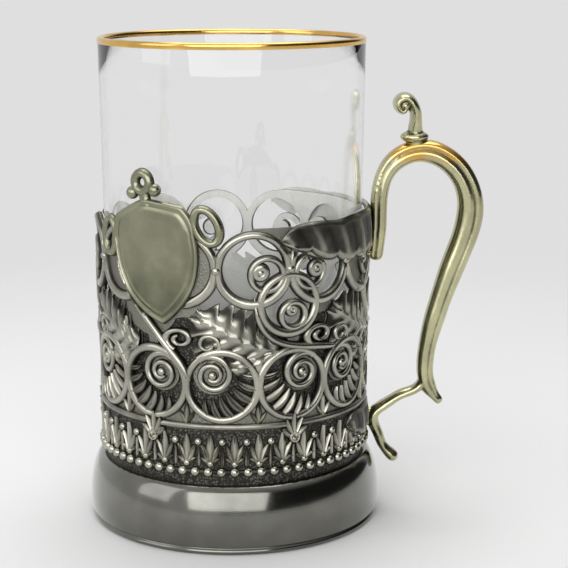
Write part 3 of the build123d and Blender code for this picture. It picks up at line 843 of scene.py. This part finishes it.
def room(studio):
    """World that is bright overhead, dark on the side of the handle and pale behind."""
    world = bpy.data.worlds.new("studio")
    world.use_nodes = True
    world.node_tree.nodes.clear()
    start = Wire(world.node_tree)
    way = start.add("ShaderNodeTexCoord", out="Generated")
    side = 0.91 * way.axis("X") - 0.42 * way.axis("Y")
    low = 1.0 - way.axis("Z").smooth(0.5, 0.95)
    reflected = (1.0 - start.ray("Transmission")) * (1.0 - start.ray("Camera"))
    dim = side.smooth(0.0, 0.4) * low * reflected
    lighting = dim.blend(ROOM_TONE, DIM_TONE)
    backdrop = dim.blend(toned(studio.floor_colour), DIM_TONE)
    colour = seen(start).blend(lighting, backdrop)
    shade = start.add("ShaderNodeBackground", {}, {"Color": colour, "Strength": 1.0})
    start.add("ShaderNodeOutputWorld", {}, {"Surface": shade})
    return world


def floor_paint(studio):
    """Pale floor that glows far out, so that it runs into the backdrop."""
    material, start, place = fresh_material("pale_floor")
    colour = place.noise(9.0, 2.0).blend(toned(studio.floor_colour, 0.99), toned(studio.floor_colour, 1.01))
    matt = start.add("ShaderNodeBsdfPrincipled", {}, {"Base Color": colour, "Roughness": 0.85})
    glow = start.add("ShaderNodeEmission", {}, {"Color": colour, "Strength": 1.0})
    far = place.length().smooth(0.12, 0.4) * seen(start)
    show(start, start.add("ShaderNodeMixShader", {}, {0: far, 1: matt, 2: glow}))
    return material


class HOLDER_OT_stage(Operator):
    """Floor, soft studio light and the camera"""

    bl_idname = "tea_holder.stage"
    bl_label = "Stage"

    def execute(self, context):
        scene = context.scene
        studio = scene.tea_holder_studio
        scene.view_settings.view_transform = "Standard"
        scene.world = room(studio)

        bpy.ops.mesh.primitive_circle_add(
            vertices=FLOOR_STEPS, radius=FLOOR_RADIUS, fill_type="NGON", location=(0, 0, 0)
        )
        floor = context.object
        floor.name = "floor"
        floor.data.materials.append(floor_paint(studio))

        powers = (studio.key_power, studio.fill_power, studio.top_power)
        for (name, place, size), power in zip(LIGHTS, powers):
            lamp = bpy.data.lights.new(name, "AREA")
            lamp.shape = "RECTANGLE"
            lamp.size, lamp.size_y = size
            lamp.energy = power
            piece = bpy.data.objects.new(name, lamp)
            piece.location = place
            piece.rotation_euler = (Vector(LIGHT_AIM) - Vector(place)).to_track_quat("-Z", "Y").to_euler()
            scene.collection.objects.link(piece)

        lens = bpy.data.cameras.new("camera")
        lens.lens = studio.lens
        lens.sensor_width = SENSOR
        camera = bpy.data.objects.new("camera", lens)
        camera.location = CAMERA_PLACE
        yaw = math.atan2(IMAGE_MIDDLE_PIXEL - AXIS_PIXEL, FOCAL_PIXELS)
        camera.rotation_euler = (math.radians(90 - CAMERA_PITCH), 0.0, -yaw)
        scene.collection.objects.link(camera)
        scene.camera = camera
        return {"FINISHED"}


# Glass


def over_lip(proud, turns):
    """Points over the rounded lip of the glass, a little proud of it, at angles in radians."""
    x, z = RIM_RADIUS - LIP_HALF, RIM - LIP_RISE
    return [(x + (LIP_HALF + proud) * math.cos(t), z + (LIP_RISE + proud) * math.sin(t)) for t in turns]


def tumbler_profile():
    """Outline of the glass, from its foot over the lip to the push-up under it."""
    floor, low, high = SEAT + GLASS_BASE, SEAT + HEEL_ROUND, RIM - LIP_RISE
    stand = SEAT + STAND_GAP
    outside = [(STAND_RADIUS, stand)]
    outside += bend(glass_radius(SEAT) - HEEL_ROUND, stand + HEEL_ROUND, HEEL_ROUND, -90, 0, 8)
    for i in range(1, 12):
        z = low + (high - low) * i / 11
        outside.append((glass_radius(z), z))
    lip = over_lip(0.0, LIP_TURNS)
    inside = []
    for i in range(12):
        z = high - (high - floor - HEEL_ROUND) * i / 11
        inside.append((glass_radius(z) - GLASS_WALL, z))
    hollow = glass_radius(floor) - GLASS_WALL
    inside += bend(hollow - HEEL_ROUND, floor + HEEL_ROUND, HEEL_ROUND, 0, -90, 8)[1:]
    inside += [(INSIDE_FLAT, floor), (NEAR_AXIS, floor)]
    return outside + lip + inside + [(r, SEAT + z) for r, z in PUSH_UP]


def gilt_profile():
    """Outline of the thin gilding over the lip."""
    low, inner, lip = RIM - GILT_OUTSIDE, RIM - GILT_INSIDE, RIM - LIP_RISE
    bore = RIM_RADIUS - GLASS_WALL
    turns = [math.pi * i / 8 for i in range(1, 8)]
    profile = [(glass_radius(low) + 0.02, low), (glass_radius(low) + GILT_SKIN, low + 0.1)]
    profile += [(RIM_RADIUS + GILT_SKIN, lip)] + over_lip(GILT_SKIN, turns)
    profile += [(bore - GILT_SKIN, lip), (bore - GILT_SKIN, inner), (bore + 0.02, inner - 0.1)]
    return profile + over_lip(0.01, turns[::-1])


class HOLDER_OT_glass(Operator):
    """Clear tumbler with its gilt rim"""

    bl_idname = "tea_holder.glass"
    bl_label = "Tea glass"

    def execute(self, context):
        finish = context.scene.tea_holder_finish
        tumbler = Shape()
        tumbler.turned(tumbler_profile(), ROUND_STEPS)
        finished("tumbler", tumbler, clear_glass(finish), "glass", ["glass_tumbler"])
        band = Shape()
        band.turned(gilt_profile(), ROUND_STEPS)
        gold = finish.gilding
        gilt = metal("fired_gilding", gold, toned(gold, 0.45), (0.0, 0.75), (0.16, 0.34))
        finished("gilt_band", band, gilt, "glass", ["gilt_rim_band"])
        return {"FINISHED"}


# Foot


def foot_profile():
    """Outline of the spun foot, with marks that paint shade into the groove above its bead."""
    ledge = wall_radius(FOOT_TOP) + FRIEZE_PROUD + FOOT_LEDGE
    under = FOOT_TOP - FOOT_SHEET
    outer = FOOT_REST + bend(FOOT_RADIUS - FOOT_BEAD_IN, FOOT_BEAD_Z, FOOT_BEAD, -60, 60, 8)
    groove = len(outer)
    outer += [(FOOT_RADIUS - GROOVE_IN, GROOVE_LOW), (FOOT_RADIUS - GROOVE_IN, GROOVE_HIGH)]
    for i in range(13):
        z = BODY_LOW + (FOOT_BELLY - BODY_LOW) * i / 12
        outer.append((FOOT_RADIUS - FOOT_TUCK * (1 - z / FOOT_BELLY) ** 2, z))
    for x, y in bend(0, 0, 1.0, 0, 90, 36)[1:]:
        outer.append((ledge + (FOOT_RADIUS - ledge) * x, FOOT_BELLY + (FOOT_TOP - FOOT_BELLY) * y))
    flat = [(ledge - LEDGE_IN, FOOT_TOP), (LEDGE_MIDDLE, FOOT_TOP), (FOOT_HOLE, FOOT_TOP)]
    flat += [(FOOT_HOLE, under), (LEDGE_MIDDLE, under)]
    inner = [(r - FOOT_SHEET, min(z, under)) for r, z in reversed(outer[groove + 2 : -3])]
    profile = outer + flat + inner + FOOT_HEM
    return profile, [GROOVE_PAINTED_SHADE if i in (groove, groove + 1) else 1.0 for i in range(len(profile))]


class HOLDER_OT_foot(Operator):
    """Spun cushion foot and the floor of the holder"""

    bl_idname = "tea_holder.foot"
    bl_label = "Foot"

    def execute(self, context):
        brass = context.scene.tea_holder_finish.foot_brass
        foot = Shape()
        profile, marks = foot_profile()
        foot.turned(profile, FOOT_STEPS, marks)
        polished = metal(
            "polished_foot", brass, toned(brass, 0.3), (0.0, 0.9), (0.14, 0.36), spun=True, lacquer=1.0
        )
        finished("foot", foot, polished, "holder", ["spun_foot"])
        dress("floor_plate", metal("floor_brass", brass, toned(brass, 0.5), (-0.6, 0.3), (0.4, 0.55)))
        return {"FINISHED"}


# Frieze


def frond(shape, here):
    """Upright leaf of five blades that rise from a stud."""
    for lean, tall in FROND_BLADES:
        blade = []
        for t in range(10):
            x, y = around(0, 0, tall * t / 9, 90 - lean * (BLADE_LEAN + t))
            blade.append((BLADE_STEP * lean + BLADE_SQUEEZE * x, FROND_ROOT + y))
        widths = swelling(10, 0.096 * tall, 0.224 * tall, 0.1, 10)
        shape.leaf(here, blade, widths, BLADE_RISE, columns=6, sink=0.3)
    shape.ball(here(0, FROND_STUD_UP, 0.2), FROND_STUD, rings=5, steps=9)


def clasp(shape, here):
    """Fan of five small leaves over the seam, with a ring at its root."""
    for lean in (-2, -1, 0, 1, 2):
        x, y = around(0, 0, CLASP_REACH - 0.5 * abs(lean), 90 + CLASP_FAN * lean)
        path = straight((0, CLASP_ROOT), (x, CLASP_ROOT + 1.35 * y), 6)
        shape.leaf(here, path, CLASP_WIDTHS, CLASP_RISE, columns=6, sink=0.7)
    shape.hoop(here, circle(0, CLASP_RING_UP, CLASP_RING, 16), 0.9, 0.9, sides=5, sink=0.5)


class HOLDER_OT_frieze(Operator):
    """Frieze of upright leaves, the beads below it and the seam wire above"""

    bl_idname = "tea_holder.frieze"
    bl_label = "Frieze and beads"

    def execute(self, context):
        sizes = context.scene.tea_holder_sizes
        finish = context.scene.tea_holder_finish
        brass, patina = finish.worn_brass, finish.patina
        relief = metal("frieze_relief", brass, patina, (0.35, 0.95), (0.24, 0.5))
        dress("frieze_band", matted("frieze_ground", finish))

        leaves = Shape()
        step = 360 / sizes.frieze_count
        bud = straight((0, 0), (0, BUD_HEIGHT), 8)
        for k in range(sizes.frieze_count):
            frond(leaves, on_wall(k * step, FRIEZE_ROOT, FRIEZE_PROUD))
            between = on_wall((k + 0.5) * step, FRIEZE_ROOT, FRIEZE_PROUD)
            leaves.leaf(between, bud, BUD_WIDTHS, 0.8, columns=6, sink=0.3)
            if not is_covered((k + 0.5) * step, FRIEZE_ROOT + STUD_UP):
                leaves.ball(between(0, STUD_UP, 0.2), STUD, rings=5, steps=9)
        finished("frieze_leaves", leaves, relief, "holder")

        clasps = Shape()
        for k in range(WIDE_SCROLLS):
            angle = LOWER_ANGLE + WIDE_PITCH * k
            if not is_covered(angle, CLASP_MIDDLE):
                clasp(clasps, on_wall(angle, FRIEZE_TOP, SEAM_PROUD))
        finished("seam_clasps", clasps, relief, "holder")

        beads = Shape()
        bead = sizes.bead_radius / MM
        radius = wall_radius(BEAD_Z) + FRIEZE_PROUD + 0.25 * bead
        for k in range(sizes.bead_count):
            a = 2 * math.pi * k / sizes.bead_count
            beads.ball(outwards(a, radius, BEAD_Z), bead, rings=8, steps=14)
        wire = circle(radius - 0.2, BEAD_Z, 0.6, 8)
        beads.turned(wire, ROUND_STEPS, [0.2] * len(wire))
        bright = metal("bead_brass", brass, patina, (0.1, 0.9), (0.2, 0.5))
        finished("beads", beads, bright, "holder", ["bead_ring"])
        dress("seam_wire", metal("wire_brass", toned(brass, 0.8), patina, (-0.35, 0.15), (0.26, 0.5)))
        return {"FINISHED"}


# Openwork


def scroll(shape, here, turn, rise, way):
    """One stroke that runs round a ring and on into the curl that leans inside it."""
    radius = RING - HALF_BAND
    path = [around(0, 0, radius, turn + way * 360 * (i / 56 - 1)) for i in range(56)]
    x, y = around(0, 0, LOWER_LEAN, turn)
    path += spiral(x, y, radius - LOWER_LEAN, EYE_PATH, turn, CURL_TURNS * way, 70)
    count = len(path)
    widths = tapered(count, STROKE_WIDE, STROKE_FINE)
    shape.ridge(here, path, widths, tapered(count, 1.1 * rise, 0.9 * rise))
    shape.ball(here(x, y, 0.15), EYE)


def spray(shape, here, turn, way):
    """Fan of curved leaves that fills the hollow between a ring and its curl."""
    for lean, length in SPRAY_LEAVES:
        path = [around(0, 0, SPRAY_RADIUS, turn + 180 + lean)]
        for t in range(9):
            path.append(around(*path[-1], length / 9, turn + 0.5 * lean + way * (5.0 * t - 20)))
        widths = swelling(10, 0.074 * length, 0.296 * length, 0.28, 9.3 / 0.72)
        shape.leaf(here, path, widths, SPRAY_RISE, columns=8)


def sprig(shape, here, root, length):
    """Three small leaves that fan out upwards from one root."""
    for lean in (-1, 1, 0):
        reach = length * (0.72 if lean else 1.0)
        path = straight((0.0, root), around(0.0, root, reach, 90 + SPRIG_FAN * lean), 8)
        widths = swelling(9, 0.065 * reach, 0.26 * reach, 0.12, 9, 0.8)
        shape.leaf(here, path, widths, SPRIG_RISE, columns=6)


def ring(shape, here, radius, band, rise):
    """Stroke round a ring, full below and thinner above."""
    widths = [band * (1 - RING_THINNING * y) for x, y in circle(0, 0, 1.0)]
    shape.ridge(here, circle(0, 0, radius), widths, [rise] * len(widths), closed=True)


def open_curl(shape, here, window, turn, rise):
    """Ridge on the ring of a pierced curl, with a bud inside it."""
    curl = CURL_SHARE * window
    x, y = around(0, 0, window - curl + CURL_OVERLAP, turn)
    shape.hoop(here, circle(x, y, curl - CURL_RIDGE_IN, 36), CURL_RIDGE, rise, sides=6)
    inner = curl - CURL_BAND
    bud = CURL_SHARE * inner
    x, y = around(x, y, bud - inner - BUD_OVERLAP, turn)
    shape.hoop(here, circle(x, y, 0.62 * bud, 20), 1.25 * bud, 0.9 * rise, sides=5)
    shape.ball(here(x, y, 0.1), 0.55 * bud, rings=5, steps=10)


def tie(shape, here):
    """Two leaves, up and down, from a stud between two rings."""
    for way in (1, -1):
        path = straight((0, TIE_ROOT * way), (0, TIE_TIP * way), 7)
        shape.leaf(here, path, TIE_WIDTHS, TIE_RISE, columns=6)
    shape.ball(here(0, 0, 0.5), TIE_STUD)


def vine(shape, here, points, rise):
    """Stem with a tendril at its end and a curl beyond the leaf beside it."""
    rises = tapered(41, 1.35 * rise, 1.35 * rise, 0.1, 0.15)
    shape.ridge(here, drawn(points, 40), tapered(41, STEM_ROOT, STEM_TIP, 0.25, 0.2), rises)
    fine = tapered(37, TENDRIL_ROOT, TENDRIL_TIP)
    for curl in TENDRILS:
        shape.ridge(here, spiral(*curl, 36), fine, [rise] * 37, sides=6)


def vine_leaves(shape, here, rise):
    """Broad acanthus leaf and the slim one under it."""
    broad = swelling(67, ACANTHUS_LEAST, ACANTHUS_SWELL, 0.06, 68, 0.75)
    slim = swelling(41, LOW_LEAF_LEAST, LOW_LEAF_SWELL, 0.1, 44)
    shape.leaf(here, drawn(ACANTHUS, 66), broad, rise, lobes=6, columns=22, sink=0.6)
    shape.leaf(here, drawn(LOW_LEAF, 40), slim, rise, lobes=3, sink=0.6)


class HOLDER_OT_openwork(Operator):
    """Pierced wall with its scrolls, vines and leaves in relief"""

    bl_idname = "tea_holder.openwork"
    bl_label = "Openwork"

    def execute(self, context):
        sizes = context.scene.tea_holder_sizes
        finish = context.scene.tea_holder_finish
        brass, patina, wash = finish.worn_brass, finish.patina, finish.silver_wash
        band, rise = sizes.scroll_band / MM, sizes.scroll_rise / MM
        relief = metal("scroll_relief", brass, patina, (0.3, 1.0), (0.22, 0.5), lining=wash)
        dress("pierced_wall", matted("wall_ground", finish, lined=True))
        middles = [MIDDLE_ANGLE + WIDE_PITCH * k for k in range(WIDE_SCROLLS)]

        scrolls = Shape()
        for k in range(SCROLLS):
            way = -1 if k % 2 else 1
            turn = 90 - LOWER_TURN * way
            here = on_wall(LOWER_ANGLE + PITCH * k, LOWER_Z)
            scroll(scrolls, here, turn, rise, way)
            spray(scrolls, here, turn, way)
            between = on_wall(LOWER_ANGLE + PITCH * (k + 0.5), SPRIG_Z)
            sprig(scrolls, between, *LOW_SPRIG)
            if k % 2:
                sprig(scrolls, between, *HIGH_SPRIG)
        for k in range(SCROLLS):
            here = on_wall(UPPER_ANGLE + PITCH * k, UPPER_Z)
            ring(scrolls, here, RING - HALF_BAND, band, rise)
            open_curl(scrolls, here, WINDOW, UPPER_TURNS[k % 2], rise)
            tie(scrolls, on_wall(UPPER_ANGLE + PITCH * (k + 0.5), UPPER_Z))
        for angle in filter(is_clear, middles):
            here = on_wall(angle, MIDDLE_Z)
            ring(scrolls, here, MIDDLE_WINDOW + HALF_BAND, band, 1.15 * rise)
            open_curl(scrolls, here, MIDDLE_WINDOW, MIDDLE_TURN, rise)
        finished("scrolls", scrolls, relief, "holder")

        vines, leaves = Shape(), Shape()
        for angle in middles:
            here = on_wall(angle, MIDDLE_Z)
            vine(vines, here, VINE if is_clear(angle) else SHIELD_VINE, rise)
            vine_leaves(leaves, here, sizes.leaf_rise / MM)
        finished("vines", vines, relief, "holder")
        finished("acanthus_leaves", leaves, relief, "holder")
        return {"FINISHED"}


# Shield


def shield_field(here):
    """Domed plate with a raised rim and a fine line inside it; painted shade darkens its lower part and
    painted light brightens its top.
    """
    half = []
    for k in range(0, 8, 2):
        half += arc_through(*SHIELD_EDGE[k : k + 3], 12)
    half.append(SHIELD_EDGE[-1])
    outline = half + [(-x, y) for x, y in reversed(half[1:-1])]
    rows = [[here(x, y, 0.05) for x, y in outline]]
    marks = [[0.3] * len(outline)]
    for share in FIELD_SHARES:
        rim = hump(share, FIELD_RIM, 0.035)
        line = hump(share, FIELD_LINE, 0.02)
        lift = 0.75 + 0.75 * rim + 0.28 * line + 0.75 * (1 - share * share)
        rows.append([here(x * share, (y + FIELD_MIDDLE) * share - FIELD_MIDDLE, lift) for x, y in outline])
        field = max(0.35 + 0.65 * rim, 0.3 + 0.5 * line, 0.75 - 0.25 * share)
        # The marks grow with height over the field: painted shade on its lower part, painted light on its
        # top
        marks.append([field + 0.022 * y * share for x, y in outline])
    plate = Shape()
    plate.skin(rows, marks)
    return plate


def shield_ears(here):
    """Looped ears, a ring on top with its neck, and two balls beside it."""
    trim = Shape()
    for side in (-1, 1):
        oval = [(EAR_HALF_WIDTH * x, EAR_HALF_HEIGHT * y) for x, y in circle(0, 0, 1.0, 36)]
        loop = [rotated(x, y, EAR_TILT * side) for x, y in oval]
        trim.hoop(here, [(EAR_X * side + x, EAR_Y + y) for x, y in loop], 2.1, 1.5, sink=0.0)
        trim.ball(here(CREST_BALL_X * side, CREST_BALL_Y, 0.5), CREST_BALL, rings=7, steps=14)
    trim.hoop(here, circle(0, CREST_Y, CREST_RADIUS, 32), 2.5, 1.6, sink=0.0)
    neck = straight((0, NECK_LOW), (0, NECK_HIGH), 8)
    trim.ridge(here, neck, NECK_WIDTHS, [NECK_RISE] * len(neck), sink=0.0)
    return trim


class HOLDER_OT_shield(Operator):
    """Bare domed shield with its looped ears and crest"""

    bl_idname = "tea_holder.shield"
    bl_label = "Shield"

    def execute(self, context):
        finish = context.scene.tea_holder_finish
        brass = finish.shield_brass
        chart = on_wall(SHIELD_ANGLE, SHIELD_Z, covers=False)

        def here(x, y, lift):
            return chart(*rotated(x, y, SHIELD_TILT), lift)

        satin = metal("shield_satin", brass, toned(brass, 0.35), (0.1, 0.8), (0.3, 0.48))
        finished("shield_field", shield_field(here), satin, "holder", ["shield_plate"])
        worn = metal("shield_trim", brass, finish.patina, (0.0, 0.75), (0.26, 0.5))
        finished("shield_ears", shield_ears(here), worn, "holder")
        return {"FINISHED"}


# Saddles and handle


def wing(shape, node, lobes, proud, side):
    """One saddle leaf with ribbed lobes and a raised brim, from its tip to the root behind the handle; its
    low marks keep its body dark, with patina in its veins and painted shade over the rest.
    """
    stations, columns = 150, 20
    middle, height = saddle_place(node)
    rows, marks = [], []
    for i in range(stations + 1):
        s = i / stations
        bottom, top = saddle_edges(s)
        lobe = abs(math.sin(math.pi * lobes * s))
        bottom = height * max(-0.5, bottom + 0.12 * (1 - lobe**0.6))
        top *= height
        away = SADDLE_SPANS[node] * (1 - s) / (wall_radius(middle) + proud)
        angle = math.radians(SADDLE_ANGLE) - side * away
        front, back, mark = [], [], []
        for j in range(columns + 1):
            t = j / columns
            z = middle + bottom + (top - bottom) * t
            radius = wall_radius(z) + proud
            edge = min(1.0, 7 * t, 7 * (1 - t), 10 * s + 0.05)
            swell = abs(math.sin(math.pi * lobes * (s + 0.1 * t)))
            vein = (1.6 * swell**0.4 - 1.1) * (1 - t) ** 0.4
            rib = max(0.0, (swell - 0.86) / 0.14) ** 1.5 * (1 - t) ** 0.5
            lip = hump(t, 0.1, 0.08)
            brim = hump(t, 0.92, 0.05)
            bulge = 0.55 + 0.4 * math.sin(math.pi * t) + 0.32 * vein + 0.3 * rib
            lift = 0.3 + bulge * edge**0.5 + (0.4 * lip + 0.25 * brim) * edge
            front.append(outwards(angle, radius + lift, z))
            back.append(outwards(angle, radius + 0.05, z))
            # The low base of these marks keeps the leaf's body dark: patina in its veins, painted shade
            # over the rest
            mark.append(within(0.42 + 0.22 * vein + 0.75 * lip + 0.36 * rib + 0.34 * brim))
        rows.append(front + back[::-1])
        marks.append(mark + [BACK] * len(mark))
    shape.skin(rows, marks, caps=(0,))


class HOLDER_OT_saddles(Operator):
    """Leaves that hug the holder behind the handle"""

    bl_idname = "tea_holder.saddles"
    bl_label = "Handle saddles"

    def execute(self, context):
        finish = context.scene.tea_holder_finish
        # Saddle brass is toned down to 0.8: painted shade on the saddle leaves
        brass, wash = toned(finish.worn_brass, 0.8), finish.silver_wash
        leafy = metal("saddle_leaf", brass, finish.patina, (0.35, 1.0), (0.26, 0.48), lining=wash)
        for name, node, lobes, proud in (
            ("upper_saddle_leaves", "upper_handle_saddle", 5, 0.0),
            ("lower_saddle_leaves", "lower_handle_saddle", 3, FRIEZE_PROUD),
        ):
            shape = Shape()
            for side in (-1, 1):
                wing(shape, node, lobes, proud, side)
            finished(name, shape, leafy, "holder", [node])
        return {"FINISHED"}


def fluted_section(flute):
    """Squarish section of the bow with a flute along each side."""
    section = []
    for x, y in circle(0, 0, 1.0, 40):
        u = math.copysign(abs(x) ** 0.8, x)
        v = math.copysign(abs(y) ** 0.8, y)
        section.append((u * (1 - 2.2 * flute * hump(v, 0.28, 0.2)), v))
    return section


class HOLDER_OT_handle(Operator):
    """Cast scroll handle, its thumb rest and rivets"""

    bl_idname = "tea_holder.handle"
    bl_label = "Handle"

    def execute(self, context):
        finish = context.scene.tea_holder_finish
        brass, dark = finish.handle_brass, toned(finish.handle_brass, 0.12)
        gilded = (toned(finish.gilding, 0.75), GILDED_FROM, GILDED_FULL)
        gold = metal("handle_brass", brass, dark, (0.1, 0.65), (0.2, 0.45), gilded=gilded)
        plain = circle(0, 0, 1.0, 24)
        shape = Shape()
        fluted = fluted_section(context.scene.tea_holder_sizes.flute_depth)
        shape.swept(curve_through(BOW), BOW_SIZES, fluted, 150)
        shape.swept(curve_through(BRANCH), BRANCH_SIZES, plain, 70)
        bow = finished("handle_bow", shape, gold, "holder", ["cast_handle"])
        cast(bow, HANDLE_VOXEL, 4)

        thumb = Shape()
        thumb.swept(curve_through(THUMB_REST), THUMB_SIZES, plain, 80)
        thumb.ball(Vector((ROLL_X, 0, ROLL_Z)), ROLL_CORE, 12, 24, ROLL_STRETCH)
        thumb.ball(Vector((COLLAR_X, 0, COLLAR_Z)), COLLAR, 12, 24, COLLAR_STRETCH)
        pale = metal("thumb_brass", brass, dark, (0.15, 0.7), (0.22, 0.45))
        rest = finished("thumb_scroll", thumb, pale, "holder", ["thumb_rest"])
        cast(rest, THUMB_VOXEL, 3)
        dress("handle_rivets", metal("rivet_brass", brass, toned(brass, 0.4), (-0.4, 0.2), (0.3, 0.5)))
        return {"FINISHED"}


class HOLDER_PT_panel(Panel):
    """Sidebar list of the pieces"""

    bl_idname = "HOLDER_PT_panel"
    bl_label = "Tea Holder"
    bl_space_type = "VIEW_3D"
    bl_region_type = "UI"
    bl_category = "Tea Holder"

    def draw(self, context):
        for operator in OPERATORS:
            self.layout.operator(operator.bl_idname)


OPERATORS = (
    HOLDER_OT_stage,
    HOLDER_OT_glass,
    HOLDER_OT_foot,
    HOLDER_OT_frieze,
    HOLDER_OT_openwork,
    HOLDER_OT_shield,
    HOLDER_OT_saddles,
    HOLDER_OT_handle,
)
CLASSES = (HolderSizes, HolderFinish, HolderStudio, *OPERATORS, HOLDER_PT_panel)


def register():
    for kind in CLASSES:
        bpy.utils.register_class(kind)
    bpy.types.Scene.tea_holder_sizes = PointerProperty(type=HolderSizes)
    bpy.types.Scene.tea_holder_finish = PointerProperty(type=HolderFinish)
    bpy.types.Scene.tea_holder_studio = PointerProperty(type=HolderStudio)


def unregister():
    del bpy.types.Scene.tea_holder_sizes
    del bpy.types.Scene.tea_holder_finish
    del bpy.types.Scene.tea_holder_studio
    for kind in reversed(CLASSES):
        bpy.utils.unregister_class(kind)


def main():
    register()
    bpy.ops.tea_holder.stage()
    bpy.ops.tea_holder.glass()
    bpy.ops.tea_holder.foot()
    bpy.ops.tea_holder.frieze()
    bpy.ops.tea_holder.openwork()
    bpy.ops.tea_holder.shield()
    bpy.ops.tea_holder.saddles()
    bpy.ops.tea_holder.handle()


if __name__ == "__main__":
    main()
